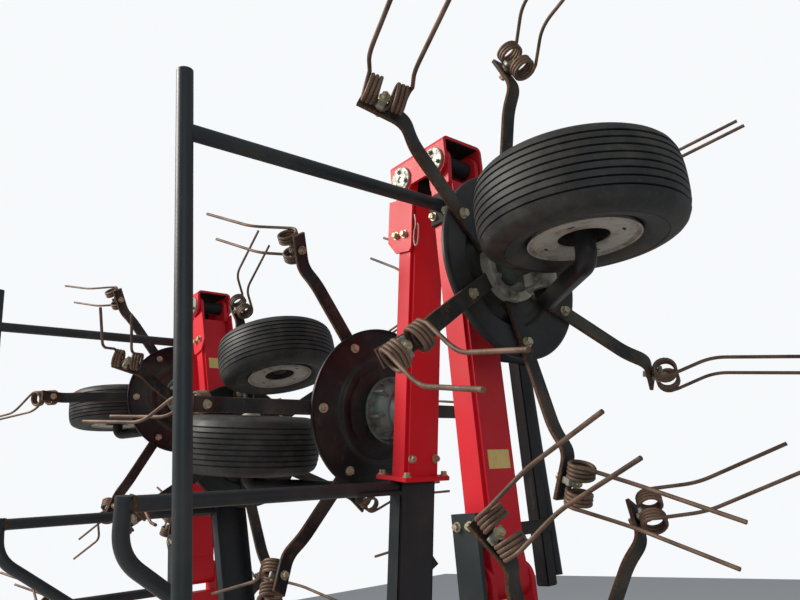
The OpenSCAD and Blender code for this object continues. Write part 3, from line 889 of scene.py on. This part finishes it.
def clamp():
    """A pressed plate that holds the loop up against the pad."""
    bm = bmesh.new()
    block(bm, (-0.0085, -0.024, CLAMP_FOOT), (0.0085, 0.020, 0.0225))
    block(bm, (-0.0075, -0.010, 0.0225), (0.0075, 0.016, 0.0365))
    chamfered(bm, 0.0018)
    bmesh.ops.transform(bm, matrix=pad_frame(), verts=bm.verts)
    return bm


for number, side in PLACES:
    for name, piece, material in (("rotor_bolts", rotor_hardware(), YELLOW_ZINC),
                                  ("tine_clamps", clamp(), PALE_ZINC)):
        ring = bmesh.new()
        ring_of(piece, ARMS, 0.0, rotor_phase(number, side), material, ring)
        on_rotor(ring, name, number, side, [material], 28)
print("rotor hardware made for", len(PLACES), "rotors")

# %% [markdown]
# ## The tyres
#
# These small implement tyres have no blocks, only ribs that run round the tread. A tyre is
# therefore a turned shape, and all the work is in its profile: eight grooves cut into a gently
# crowned tread, rounded shoulders, a full side wall and a bead that grips the rim.

# %% Draw the tyre's profile and turn it
TYRE_R = 0.205
TYRE_HALF = 0.0825
SEAT_R = 0.102
TREAD_HALF = 0.066
GROOVES = 8
GROOVE_DEEP = 0.0052


def tread_profile():
    """The tread from side to side, as (radius, offset along the axle)."""
    half = TREAD_HALF
    pitch = 2 * half / (GROOVES + 1)
    points = []

    def crown(x):
        return TYRE_R - 0.0035 * (x / half) ** 2 - 0.0070 * (x / half) ** 4

    for k in range(GROOVES):
        middle = -half + (k + 1) * pitch
        top = crown(middle)
        points += [(top, middle - 0.0021), (top - GROOVE_DEEP, middle - 0.0013)]
        points += [(top - GROOVE_DEEP, middle + 0.0013), (top, middle + 0.0021)]
    return [(crown(-half), -half)] + points + [(crown(half), half)]


def tyre_profile():
    wall = [(0.1895, 0.0712), (0.1835, 0.0752), (0.1765, 0.0786), (0.1680, 0.0812), (0.158, TYRE_HALF),
            (0.1575, 0.0810), (0.1560, 0.0810), (0.1545, 0.0823), (0.142, 0.0810), (0.128, 0.0765),
            (0.117, 0.0700), (0.109, 0.0640), (SEAT_R, 0.0610), (SEAT_R, 0.0485)]
    inside = [(0.132, 0.0600), (0.172, 0.0620), (0.1900, 0.0300)]
    left = [(r, -x) for r, x in wall]
    ring = list(reversed(left)) + tread_profile() + wall + inside + [(0.1935, 0.0)]
    return ring + [(r, -x) for r, x in reversed(inside)]


def wheel_offset(number, side):
    """Where a wheel stands from its rotor: along the wing, ahead of it, and the crank's side."""
    if number < 3:
        return (0.0, 0.160, -1)
    return (0.113, 0.236, 1) if side > 0 else (-0.223, 0.0, -1)


def at_wheel(number, side):
    along, ahead, _ = wheel_offset(number, side)
    return at_rotor(number, side) @ Matrix.Translation((along, -ahead, -AXLE_DROP))


def tread_tie():
    """A thin bar across the tread that shows only where it bridges the grooves."""
    bm = bmesh.new()
    block(bm, (TYRE_R - 0.0090, -0.0015, -0.045), (TYRE_R - 0.0046, 0.0015, 0.045))
    return bm


def on_wheel(bm, name, number, side, materials, smooth, instead):
    """A piece drawn about its wheel's own axle, which rolls with it."""
    here = tag(number, side)
    return put(bm, name + "_" + here, at_wheel(number, side), materials, "wheel_" + here, smooth,
               instead + "_" + here)


UPRIGHT = Matrix.Rotation(math.radians(90), 4, "Y")
for number, side in PLACES:
    bm = bmesh.new()
    lathe(bm, tyre_profile(), 96, "X")
    ties = bmesh.new()
    ring_of(tread_tie(), 7, 0.0, 0.35 * number, TYRE_RUBBER, ties)
    join(bm, ties, UPRIGHT)
    tyre = on_wheel(bm, "ribbed_tyre", number, side, [TYRE_RUBBER], 38, "tyre")
print("one tyre:", len(tyre.data.polygons), "faces")

# %% [markdown]
# ## Rolled edges on the steelwork
#
# The CAD beams are ideal boxes with razor edges. Real square tube has rounded corners, and a
# plate's edge is ground and then painted, so the paint is thinnest there and wears through first.
# A copy of each part is merged into clean faces and bevelled, and the faces of the bevel get the
# worn version of the same paint.

# %% Copy, merge and bevel a CAD part
def rolled(node, width, materials, body, segments=2, limit=35):
    bm = bmesh.new()
    bm.from_mesh(nodes[node].data)
    bmesh.ops.remove_doubles(bm, verts=bm.verts, dist=2e-5)
    bmesh.ops.dissolve_limit(bm, angle_limit=math.radians(0.6), verts=bm.verts, edges=bm.edges)
    for face in bm.faces:
        face.smooth = True
    mesh = bpy.data.meshes.new("rolled " + node)
    bm.to_mesh(mesh)
    bm.free()
    mesh.materials.clear()
    for material in materials:
        mesh.materials.append(material)
    raw = bpy.data.objects.new("raw " + node, mesh)
    bpy.context.scene.collection.objects.link(raw)
    bevel = raw.modifiers.new("rolled edge", "BEVEL")
    bevel.width = width
    bevel.segments = segments
    bevel.limit_method = "ANGLE"
    bevel.angle_limit = math.radians(limit)
    bevel.material = 1 if len(materials) > 1 else -1
    bevel.use_clamp_overlap = True
    flatten = raw.modifiers.new("flat faces stay flat", "WEIGHTED_NORMAL")
    flatten.weight = 90
    depsgraph = bpy.context.evaluated_depsgraph_get()
    depsgraph.update()
    made = bpy.data.meshes.new_from_object(raw.evaluated_get(depsgraph))
    made.name = "rolled " + node
    bpy.data.objects.remove(raw)
    thing = show(made, "rolled_" + node, body)
    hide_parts(node)
    return thing


STEELWORK = [("centre_frame", 0.0030, "frame"), ("headstock", 0.0030, "frame"),
             ("beam_r0", 0.0050, "inner_r"), ("beam_l0", 0.0050, "inner_l")]
for node, width, body in STEELWORK:
    made = rolled(node, width, [SIGNAL_RED, WORN_RED], body)
    print(node, len(made.data.polygons), "faces")

# %% [markdown]
# ## The two upper beams of a wing
#
# The beams that the eye meets first are welded from a rounded tube, two tongue plates with a
# hollow between them at the fold, and a thick end plate. Each part is drawn as its own outline
# and bevelled, so that the hollow between the tongues is really open; a dark sheet on the tube's
# end and a dark bar round the pin inside it are painted shade.

# %% Plates and tubes of the beams
def outlined_plate(bm, outline, y_low, y_high):
    """A flat plate in the X-Z plane from an outline, between two places across the wing."""
    rings = [[bm.verts.new((x, y, z)) for x, z in outline] for y in (y_low, y_high)]
    for k in range(len(outline)):
        after = (k + 1) % len(outline)
        bm.faces.new((rings[0][k], rings[0][after], rings[1][after], rings[1][k]))
    bm.faces.new(rings[0])
    bm.faces.new(list(reversed(rings[1])))


def eye_outline(x_eye, x_root, radius, half):
    """Round end about the eye and a straight shank back to the root."""
    toward = 1 if x_eye > x_root else -1
    arc = [math.radians(a) for a in range(-90, 91, 10)]
    points = [(x_eye + toward * radius * math.cos(a), BEAM_Z + radius * math.sin(a)) for a in arc]
    return points + [(x_root, BEAM_Z + half), (x_root, BEAM_Z - half)]


def eased(bm, width, segments=2):
    """Bevels the sharp edges of everything drawn so far and keeps flat faces flat."""
    sharp = [e for e in bm.edges if len(e.link_faces) == 2 and e.calc_face_angle(0) > math.radians(35)]
    bmesh.ops.bevel(bm, geom=sharp, offset=width, segments=segments, affect="EDGES", clamp_overlap=True)


def eased_block(bm, low, high, width):
    part = bmesh.new()
    block(part, low, high)
    eased(part, width)
    join(bm, part)


def eased_plate(bm, outline, y_low, y_high, width):
    part = bmesh.new()
    outlined_plate(part, outline, y_low, y_high)
    eased(part, width)
    join(bm, part)


def crossing(x, y_from, y_to):
    """A straight line across the wing at the height of the beams."""
    return [Vector((x, y, BEAM_Z)) for y in (y_from, y_to)]


# %% Draw the middle and outer beams
HINGE_GAP = 0.066
EYE_R = 0.039
TONGUE_IN, TONGUE_OUT = 0.0450, 0.0590
END_PLATE = PIN_2_X + 0.635 + 0.170
TOP, LOW = BEAM_Z + BEAM_HALF_Z, BEAM_Z - BEAM_HALF_Z
LOW_OUTER = BEAM_Z - 0.024


def tube_body(bm, x_low, x_high, z_low, z_high):
    """A square tube with its four long corners rounded."""
    part = bmesh.new()
    block(part, (x_low, -BEAM_HALF_Y, z_low), (x_high, BEAM_HALF_Y, z_high))
    along = [e for e in part.edges if abs(e.verts[0].co.x - e.verts[1].co.x) > 0.1]
    bmesh.ops.bevel(part, geom=along, offset=0.009, segments=4, affect="EDGES")
    join(bm, part)


def tongue_pair(bm, x_eye, x_root):
    outline = eye_outline(x_eye, x_root, EYE_R, 0.034)
    for way in (1, -1):
        eased_plate(bm, outline, way * TONGUE_IN, way * TONGUE_OUT, 0.0016)


def middle_beam():
    bm = bmesh.new()
    tube_body(bm, MID_X + HINGE_GAP, PIN_1_X - HINGE_GAP, LOW, TOP)
    tongue_pair(bm, PIN_1_X, PIN_1_X - HINGE_GAP - 0.004)
    knuckle = eye_outline(MID_X, MID_X + HINGE_GAP + 0.004, EYE_R, 0.030)
    eased_plate(bm, knuckle, -TONGUE_OUT, TONGUE_OUT, 0.0020)
    sweep(bm, crossing(MID_X, -0.0755, 0.0755), 0.0200, 32)
    for way in (1, -1):
        sweep(bm, crossing(MID_X, way * 0.0750, way * 0.0810), 0.0310, 32)
    return bm


def outer_beam():
    bm = bmesh.new()
    tube_body(bm, PIN_2_X + HINGE_GAP, END_PLATE, LOW_OUTER, TOP)
    tongue_pair(bm, PIN_2_X, PIN_2_X + HINGE_GAP + 0.004)
    eased_block(bm, (END_PLATE, -0.078, BEAM_Z - 0.062), (END_PLATE + 0.0118, 0.078, BEAM_Z + 0.062), 0.0018)
    start, end = PIN_2_X + 0.052, PIN_2_X + 0.205
    cheek = [(start, BEAM_Z - 0.058), (end - 0.034, BEAM_Z - 0.058), (end, LOW_OUTER + 0.001),
             (end, TOP - 0.008), (end - 0.010, TOP), (start, TOP)]
    for way in (1, -1):
        eased_plate(bm, cheek, way * 0.0602, way * 0.0665, 0.0014)
    return bm


def gearbox_neck():
    low, high = GEAR_TOP - 0.004, LOW_OUTER - DISC_Z + 0.0005
    bm = bmesh.new()
    lathe(bm, [(0.0, low), (0.058, low), (0.052, high), (0.0, high)], 40)
    return bm


def tongue_painted_shade(x_pin, x_end, low):
    """Painted shade on the end of the tube and round the pin, seen through the gap between two tongues."""
    depth = TONGUE_IN - 0.0002
    bm = bmesh.new()
    block(bm, (x_end - 0.0005, -depth, low + 0.004), (x_end + 0.0005, depth, TOP - 0.004))
    sweep(bm, crossing(x_pin, -depth, depth), 0.0250, 24)
    return bm


# %% Weld the wing beams
for side, letter in LETTER.items():
    on_section(middle_beam(), "wing_beam_" + letter + "1", 2, side, SIGNAL_RED, 40, "beam_" + letter + "1")
    own = on_section(outer_beam(), "wing_beam_" + letter + "2", 3, side, SIGNAL_RED, 40,
                     "beam_" + letter + "2")
    put(gearbox_neck(), "gearbox_neck_" + letter, at_rotor(3, side), [CASTING], "outer_" + letter, 30)
    # The dark sheet and bar between each pair of tongues are painted shade.
    for number, x_pin, x_end, low in ((2, PIN_1_X, PIN_1_X - HINGE_GAP + 0.0006, LOW),
                                      (3, PIN_2_X, PIN_2_X + HINGE_GAP - 0.0006, LOW_OUTER)):
        name = "grime_in_tongue_" + letter + str(number - 1)
        on_section(tongue_painted_shade(x_pin, x_end, low), name, number, side, GRIME_AND_SHADE)
print("wing beams welded:", len(own.data.polygons), "faces in an outer one")

# %% [markdown]
# ## The links and the outer hoops
#
# The link that joins the two upper beams is bent from one sheet into a channel. Its back is drawn
# with round bends, and its cheeks follow the round ends about the two pins. The outer hoop is a
# channel that carries on from the beam, with a tube that is welded square at the first corner and
# bent softly at the others.

# %% Bend the links
LINK_OUT, LINK_WALL, LINK_END = 0.073, 0.009, 0.044


def on_circle(centre, radius, degrees):
    turns = [math.radians(a) for a in degrees]
    return [(centre[0] + radius * math.cos(a), centre[1] + radius * math.sin(a)) for a in turns]


def channel_ring(edge):
    """Cross-section of the bent sheet, with its legs as long as the given edge says."""
    back, bend = -0.060, 0.016
    one, other = (bend - LINK_OUT, back + bend), (LINK_OUT - bend, back + bend)
    outer = on_circle(one, bend, range(180, 271, 18)) + on_circle(other, bend, range(270, 361, 18))
    inner = on_circle(other, bend - LINK_WALL, range(360, 269, -30))
    inner += on_circle(one, bend - LINK_WALL, range(270, 179, -30))
    return [(-LINK_OUT, edge), *outer, (LINK_OUT, edge),
            (LINK_OUT - LINK_WALL, edge), *inner, (-LINK_OUT + LINK_WALL, edge)]


def bent_link():
    """Rings of the sheet from one round end to the other, with its two pins."""
    span = PIN_2_X - PIN_1_X
    turns = [math.radians(a) for a in (0, 25, 40, 55, 70, 90, 110, 125, 143.8)]
    stations = [(LINK_END * -math.cos(a), LINK_END * math.sin(a)) for a in turns]
    stations += [(span - x, edge) for x, edge in reversed(stations)]
    bm = bmesh.new()
    rings = [[bm.verts.new((PIN_1_X + x, y, BEAM_Z + z)) for y, z in channel_ring(edge)]
             for x, edge in stations]
    count = len(rings[0])
    for first, second in zip(rings, rings[1:]):
        for k in range(count):
            after = (k + 1) % count
            bm.faces.new((first[k], first[after], second[after], second[k]))
    bm.faces.new(list(reversed(rings[0])))
    bm.faces.new(rings[-1])
    eased(bm, 0.0014)
    for pin in (PIN_1_X, PIN_2_X):
        sweep(bm, crossing(pin, -LINK_OUT + 0.0010, LINK_OUT - 0.0010), 0.0160, 32)
    return bm


def on_link(bm, name, side, material, smooth, instead=None):
    """A piece drawn on the flat wing, put where its link stands."""
    return put(bm, name, at_link(side), [material], "link_body_" + LETTER[side], smooth, instead)


for side, letter in LETTER.items():
    own = on_link(bent_link(), "bent_link_" + letter, side, SIGNAL_RED, 40, "link_" + letter)
print("links bent:", len(own.data.polygons), "faces each")


# %% Bend the outer hoops
HOOP_X, HOOP_END = ROTOR_X[3] + 0.201, ROTOR_X[3] + 0.730
HOOP_REACH, HOOP_R = 0.765, 0.017


def hoop_channel(bm):
    """The folded sheet that carries on from the end plate, and the flange on the hoop's tube."""
    start = END_PLATE + 0.0120
    low, high = BEAM_Z - 0.023, BEAM_Z + 0.023
    half, sheet = BEAM_HALF_Y, 0.006
    for wall_low, wall_high in (
            ((start, -half, high - sheet), (HOOP_END, half, high)),
            ((start, -half, low), (HOOP_END, -half + sheet, high)),
            ((start, half - sheet, low), (HOOP_END, half, high)),
            ((start, -half, low), (start + 0.012, half, high)),
            ((HOOP_X + 0.005, -0.190, BEAM_Z - 0.026), (HOOP_X + 0.015, -half + 0.002, BEAM_Z + 0.026))):
        eased_block(bm, wall_low, wall_high, 0.0012)


def outer_hoop():
    bm = bmesh.new()
    hoop_channel(bm)
    sweep(bm, crossing(HOOP_X, -BEAM_HALF_Y, -HOOP_REACH + 0.004), HOOP_R, 28)
    turns = [(HOOP_X - HOOP_R, -HOOP_REACH), (HOOP_X + 0.100, -HOOP_REACH),
             (HOOP_END - 0.040, -HOOP_REACH / 3), (HOOP_END - 0.040, -BEAM_HALF_Y)]
    sweep(bm, rounded_path([(x, y, BEAM_Z) for x, y in turns], 0.110, 10), HOOP_R, 28)
    return bm


def hoop_weld():
    """The bead where one tube of the hoop stands square on the other."""
    bead = [(HOOP_R - 0.001, -0.004), (HOOP_R + 0.0035, -0.003), (HOOP_R + 0.001, 0.004),
            (HOOP_R - 0.001, 0.005)]
    bm = bmesh.new()
    lathe(bm, bead, 28)
    place = facing((HOOP_X, -HOOP_REACH + HOOP_R, BEAM_Z), (0, 1, 0))
    bmesh.ops.transform(bm, matrix=place, verts=bm.verts)
    return bm


for side, letter in LETTER.items():
    on_section(outer_hoop(), "outer_hoop_" + letter, 3, side, GUARD_GREY, 40, "guard_" + letter + "2")
    on_section(hoop_weld(), "hoop_weld_" + letter, 3, side, ARM_EDGE)
print("outer hoops bent")

# %% [markdown]
# ## The gearboxes
#
# Under each beam a cast gearbox turns the long shaft's drive into the rotor's. The casting is a
# bell with radial ribs and a flange with a ring of bolts. The ribs and bolts are two more rings.

# %% Cast the gearboxes
GEAR_R = 0.088
FOOT_Z = 0.086
CRANK_Z = -0.109
CRANK_R = 0.021
HUB_HALF = 0.046


def gear_rib():
    bm = bmesh.new()
    block(bm, (0.060, -0.004, 0.036), (GEAR_R + 0.005, 0.004, GEAR_TOP - 0.006))
    chamfered(bm, 0.0015)
    return bm


def gearbox(bm):
    """Bell, flange and the fixed hub that goes down through the rotor."""
    bell = [(0.0, 0.014), (0.068, 0.014), (GEAR_R, 0.026), (GEAR_R + 0.006, 0.027),
            (GEAR_R + 0.006, 0.036), (GEAR_R - 0.008, 0.038), (GEAR_R - 0.012, GEAR_TOP - 0.018),
            (GEAR_R - 0.026, GEAR_TOP), (0.0, GEAR_TOP)]
    lathe(bm, soft_corners(bell, 0.006)[4:-4], 64)
    hub = [(0.0, -FOOT_Z), (0.043, -FOOT_Z), (0.043, 0.015), (0.0, 0.015)]
    lathe(bm, hub, 40)
    foot = [(0.0, -FOOT_Z - 0.046), (0.050, -FOOT_Z - 0.046), (0.056, -FOOT_Z - 0.040),
            (0.056, -FOOT_Z - 0.010), (0.046, -FOOT_Z + 0.004), (0.0, -FOOT_Z + 0.004)]
    lathe(bm, foot, 48)


# %% Bend the wheel arms
def crank_line(number, side):
    """Out from the foot of the hub, down past the tyre, and in to the wheel."""
    along, ahead, way = wheel_offset(number, side)
    elbow = along + way * (TYRE_HALF + 0.015 + CRANK_R)
    corners = [(way * 0.030, 0, CRANK_Z), (elbow, 0, CRANK_Z), (elbow, -ahead, -AXLE_DROP),
               (along + way * (HUB_HALF + 0.0020), -ahead, -AXLE_DROP)]
    return rounded_path(corners, 0.075, 9)


def crank_socket(bm, way):
    """The clamp of the foot round the start of the wheel arm, with its two bolts."""
    collar = [(CRANK_R, 0.046), (0.033, 0.046), (0.036, 0.050), (0.036, 0.082), (0.033, 0.086),
              (CRANK_R, 0.086)]
    lathe(bm, [(r, way * h) for r, h in collar], 32, "X")
    for y in (-1, 1):
        block(bm, (way * 0.066 - 0.014, y * 0.040 - 0.008, -0.012),
              (way * 0.066 + 0.014, y * 0.040 + 0.008, 0.012))
        bolt(bm, (way * 0.066, y * 0.041, -0.012), 0.010, 0.008, -1)


for number, side in PLACES:
    here = tag(number, side)
    body = section_body(number, side)
    stands_for = "centre_drives" if number == 0 else "drive_" + here
    rotor = at_rotor(number, side)
    along, ahead, way = wheel_offset(number, side)
    cast = bmesh.new()
    gearbox(cast)
    ring_of(gear_rib(), 8, 0.0, 0.2, CASTING, cast)
    ring_of(single_bolt((0, 0, 0.037), 0.0085, 0.007), 8, 0.089, 0.59, CASTING, cast)
    put(cast, "gearbox_" + here, rotor, [CASTING], body, 32, stands_for)
    socket = bmesh.new()
    crank_socket(socket, way)
    put(socket, "crank_socket_" + here, rotor @ Matrix.Translation((0, 0, CRANK_Z)), [PALE_CASTING], body, 32)
    arm = bmesh.new()
    sweep(arm, crank_line(number, side), CRANK_R, 22)
    stub = [Vector((along + way * x, -ahead, -AXLE_DROP)) for x in (HUB_HALF + 0.015, -HUB_HALF - 0.014)]
    sweep(arm, stub, 0.0170, 20)
    cap = [Vector((along - way * x, -ahead, -AXLE_DROP)) for x in (HUB_HALF + 0.0020, HUB_HALF + 0.0120)]
    sweep(arm, cap, 0.0250, 6)
    put(arm, "wheel_arm_" + here, rotor, [CRANK_BLACK], body, 35, stands_for)
print("gearboxes and wheel arms made")

# %% [markdown]
# ## The rims
#
# Each rim is two pressings back to back. From outside one sees the rolled edge over the bead, a
# narrow groove, a flat face with small slots drawn as marks of painted shade, and a deep bore round
# the hub in rust darkened with painted shade.

# %% Turn the rims
def rim_outline():
    face = [(0.1110, 0.0738), (0.1095, 0.0754), (0.1068, 0.0748), (0.1050, 0.0700), (0.1030, 0.0680),
            (0.1008, 0.0690), (0.0985, 0.0712), (0.0950, 0.0722), (0.0560, 0.0712), (0.0505, 0.0690),
            (0.0450, 0.0300), (0.0300, 0.0280), (0.0300, HUB_HALF), (0.0173, HUB_HALF)]
    seat = [(0.0930, 0.0300), (0.0990, 0.0440), (0.1018, 0.0590)]
    return face + [(r, -x) for r, x in reversed(face)] + [(r, -x) for r, x in reversed(seat)] + seat


# Each slot is a thin mark in the painted shade of a hole.
def slot_mark():
    bm = bmesh.new()
    for way in (1, -1):
        made = bmesh.ops.create_cone(bm, cap_ends=True, segments=14, radius1=0.0058, radius2=0.0050,
                                     depth=0.0012)
        bmesh.ops.scale(bm, vec=(0.55, 1.5, 1), verts=made["verts"])
        bmesh.ops.translate(bm, vec=(0.078, 0, way * 0.0714), verts=made["verts"])
    return bm


for number, side in PLACES:
    rim = bmesh.new()
    lathe(rim, soft_corners(rim_outline(), 0.0025, 2), 80, "X")
    # The faces of the bore get rust with painted shade.
    for face in rim.faces:
        middle = face.calc_center_median()
        if math.hypot(middle.y, middle.z) < 0.0500:
            face.material_index = 2
    slots = bmesh.new()
    ring_of(slot_mark(), 4, 0.0, 0.3, HOLE_SHADE, slots, 1)
    join(rim, slots, UPRIGHT)
    on_wheel(rim, "pressed_rim", number, side, [RIM_PAINT, HOLE_SHADE, BORE_RUST_AND_SHADE], 30, "rim")
print("rims turned")

# %% [markdown]
# ## Small parts on the wings
#
# A few small things tell the eye how big the machine is: the zinc caps of the link pins with
# their three screws, the yellow zinc bolts of the end plates, two blank labels on each wing, a
# spring clip that hangs from its bracket, and a bar and a thin tube that run down behind the beam.

# %% Cap the pins
def pin_cap():
    bm = bmesh.new()
    cap = [(0.0, 0.0), (0.037, 0.0), (0.037, 0.0050), (0.035, 0.0065), (0.009, 0.0065), (0.007, 0.0035),
           (0.0, 0.0035)]
    lathe(bm, cap, 40)
    for k in range(3):
        angle = 2 * math.pi * k / 3 + 0.6
        bolt(bm, (0.024 * math.cos(angle), 0.024 * math.sin(angle), 0.0065), 0.0070, 0.005)
    return bm


for side, letter in LETTER.items():
    caps = bmesh.new()
    for pin in (PIN_1_X, PIN_2_X):
        for way in (1, -1):
            seat = Matrix.Translation((pin, way * (LINK_OUT + 0.0002), BEAM_Z))
            join(caps, pin_cap(), seat @ Matrix.Rotation(-way * math.pi / 2, 4, "X"))
    on_link(caps, "pin_caps_" + letter, side, PALE_ZINC, 28)
    # A dark sheet on the inside of the link's back is painted shade in the channel.
    grime = bmesh.new()
    block(grime, (PIN_1_X - 0.042, -0.0600, BEAM_Z - 0.0519), (PIN_2_X + 0.042, 0.0600, BEAM_Z - 0.0500))
    chamfered(grime, 0.0006)
    on_link(grime, "painted_shade_in_link_" + letter, side, GRIME_AND_SHADE, 28)
print("pin caps made")


# %% Bolts at places with a direction
def bolts_at(places):
    """Bolts from pairs of a point and the direction that the head looks in."""
    bm = bmesh.new()
    for point, normal in places:
        join(bm, single_bolt((0, 0, 0), 0.0115, 0.009), facing(point, normal))
    return bm


for side, letter in LETTER.items():
    outer = [((END_PLATE, y * 0.066, BEAM_Z + z * 0.050), (-1, 0, 0)) for y in (-1, 1) for z in (-1, 1)]
    outer += [((END_PLATE - 0.045, y * 0.042, TOP), (0, 0, 1)) for y in (-1, 1)]
    outer += [((PIN_2_X + 0.155, -0.0665, BEAM_Z + z), (0, -1, 0)) for z in (-0.022, 0.012)]
    outer += [((PIN_2_X + 0.155, 0.0665, BEAM_Z + z), (0, 1, 0)) for z in (-0.022, 0.012)]
    on_section(bolts_at(outer), "plate_bolts_" + letter, 3, side, YELLOW_ZINC)
    middle = [((MID_X + 0.128, -0.1000, BEAM_Z + z * 0.020), (0, -1, 0)) for z in (-1, 1)]
    middle += [((PIN_1_X - 0.150, -0.0680, BEAM_Z + z * 0.024), (0, -1, 0)) for z in (-1, 1)]
    middle += [((MID_X + 0.090 + x, y * 0.042, LOW), (0, 0, -1)) for x in (0.0, 0.70) for y in (-1, 1)]
    on_section(bolts_at(middle), "wing_bolts_" + letter, 2, side, YELLOW_ZINC)
print("plate bolts made")


# %% Labels, clip and the bars behind the beam
LABEL_W, LABEL_L = 0.044, 0.075


def label(x, z):
    """A blank label that lies under a beam."""
    bm = bmesh.new()
    block(bm, (x - LABEL_W / 2, -LABEL_L / 2, -0.0009), (x + LABEL_W / 2, LABEL_L / 2, -0.0001))
    chamfered(bm, 0.0003)
    bmesh.ops.translate(bm, vec=(0, 0, z), verts=bm.verts)
    return bm


def spring_clip():
    """A bent wire clip that hangs from its own eye."""
    loop = [(0.004, 0, 0), (0.007, 0, -0.006), (0.007, 0, -0.030), (0.004, 0, -0.042), (0, 0, -0.046),
            (-0.004, 0, -0.042), (-0.007, 0, -0.030), (-0.006, 0, -0.012), (-0.002, 0, -0.004),
            (-0.003, 0, 0.008), (-0.006, 0, 0.020)]
    bm = bmesh.new()
    sweep(bm, rounded_path([1.35 * Vector(point) for point in loop], 0.008, 3), 0.0019, 8)
    return bm


for side, letter in LETTER.items():
    on_section(label(2.177, LOW), "blank_label_middle_" + letter, 2, side, LABEL_YELLOW)
    on_section(label(3.350, LOW_OUTER), "blank_label_outer_" + letter, 3, side, LABEL_YELLOW)
    clip = bmesh.new()
    hook = Matrix.Translation((PIN_2_X + 0.135, -0.0680, TOP + 0.022))
    join(clip, spring_clip(), hook @ Matrix.Rotation(math.radians(-90), 4, "Y"))
    on_section(clip, "spring_clip_" + letter, 3, side, PALE_ZINC)
    foot = bmesh.new()
    block(foot, (PIN_1_X - 0.175, -0.0680, LOW + 0.002), (PIN_1_X - 0.090, -0.0602, TOP - 0.002))
    chamfered(foot, 0.0015)
    on_section(foot, "rail_foot_" + letter, 2, side, GRIME_AND_SHADE)
    bars = bmesh.new()
    block(bars, (MID_X - 0.030, 0.148, BEAM_Z - 0.019), (MID_X + 0.560, 0.184, BEAM_Z + 0.019))
    for x in (MID_X + 0.110, MID_X + 0.530):
        block(bars, (x - 0.015, 0.0598, BEAM_Z - 0.030), (x + 0.015, 0.190, BEAM_Z - 0.018))
    chamfered(bars, 0.003, 2)
    on_section(bars, "brace_bar_" + letter, 2, side, CRANK_BLACK, 40)
    tube = bmesh.new()
    sweep(tube, [(MID_X - 0.010, 0.213, BEAM_Z), (MID_X + 0.500, 0.196, BEAM_Z)], 0.012, 18)
    on_section(tube, "brace_tube_" + letter, 2, side, GUARD_GREY)
print("labels, clips and bars made")

# %% [markdown]
# ## The floor and the light
#
# The machine stands on a plain pale floor under a bright even sky, with one soft key light from
# the left, where the sun stood. The camera alone sees a paler sky than the one that gives light.

# %% Floor and sky
FLOOR_HALF = 14.0
floor_corners = [(x * FLOOR_HALF, y * FLOOR_HALF, 0) for x, y in ((-1, -1), (1, -1), (1, 1), (-1, 1))]
floor_mesh = bpy.data.meshes.new("floor")
floor_mesh.from_pydata(floor_corners, [], [(0, 1, 2, 3)])
floor = bpy.data.objects.new("floor", floor_mesh)
bpy.context.scene.collection.objects.link(floor)
pale = Finish("pale floor")
floor_mesh.materials.append(pale.finish((0.62, 0.62, 0.61), 0.8))

world = bpy.data.worlds.new("sky")
bpy.context.scene.world = world
world.use_nodes = True
tree = world.node_tree
sky_light = tree.nodes["Background"]
sky_light.inputs["Color"].default_value = (0.86, 0.92, 1.0, 1.0)
sky_light.inputs["Strength"].default_value = 0.36
sky_seen = tree.nodes.new("ShaderNodeBackground")
sky_seen.inputs["Color"].default_value = (0.93, 0.95, 0.97, 1.0)
sky_seen.inputs["Strength"].default_value = 1.0
rays = tree.nodes.new("ShaderNodeLightPath")
either = tree.nodes.new("ShaderNodeMath")
either.operation = "MAXIMUM"
tree.links.new(rays.outputs["Is Camera Ray"], either.inputs[0])
tree.links.new(rays.outputs["Is Transmission Ray"], either.inputs[1])
choose = tree.nodes.new("ShaderNodeMixShader")
tree.links.new(either.outputs[0], choose.inputs[0])
tree.links.new(sky_light.outputs[0], choose.inputs[1])
tree.links.new(sky_seen.outputs[0], choose.inputs[2])
tree.links.new(choose.outputs[0], tree.nodes["World Output"].inputs["Surface"])


# %% Lamps
def area_lamp(name, place, target, size, power, colour):
    lamp_data = bpy.data.lights.new(name, "AREA")
    lamp_data.size = size
    lamp_data.energy = power
    lamp_data.color = colour
    lamp = bpy.data.objects.new(name, lamp_data)
    bpy.context.scene.collection.objects.link(lamp)
    lamp.location = place
    lamp.rotation_euler = (Vector(target) - Vector(place)).to_track_quat("-Z", "Y").to_euler()


area_lamp("key light", (-3.4, -4.8, 6.4), (0.2, 0, 2.0), 3.0, 640, (1.0, 0.965, 0.91))
area_lamp("fill light", (5.2, -2.6, 3.4), (0.4, 0, 1.8), 3.0, 30, (0.92, 0.96, 1.0))
bpy.context.scene.view_settings.view_transform = "Standard"
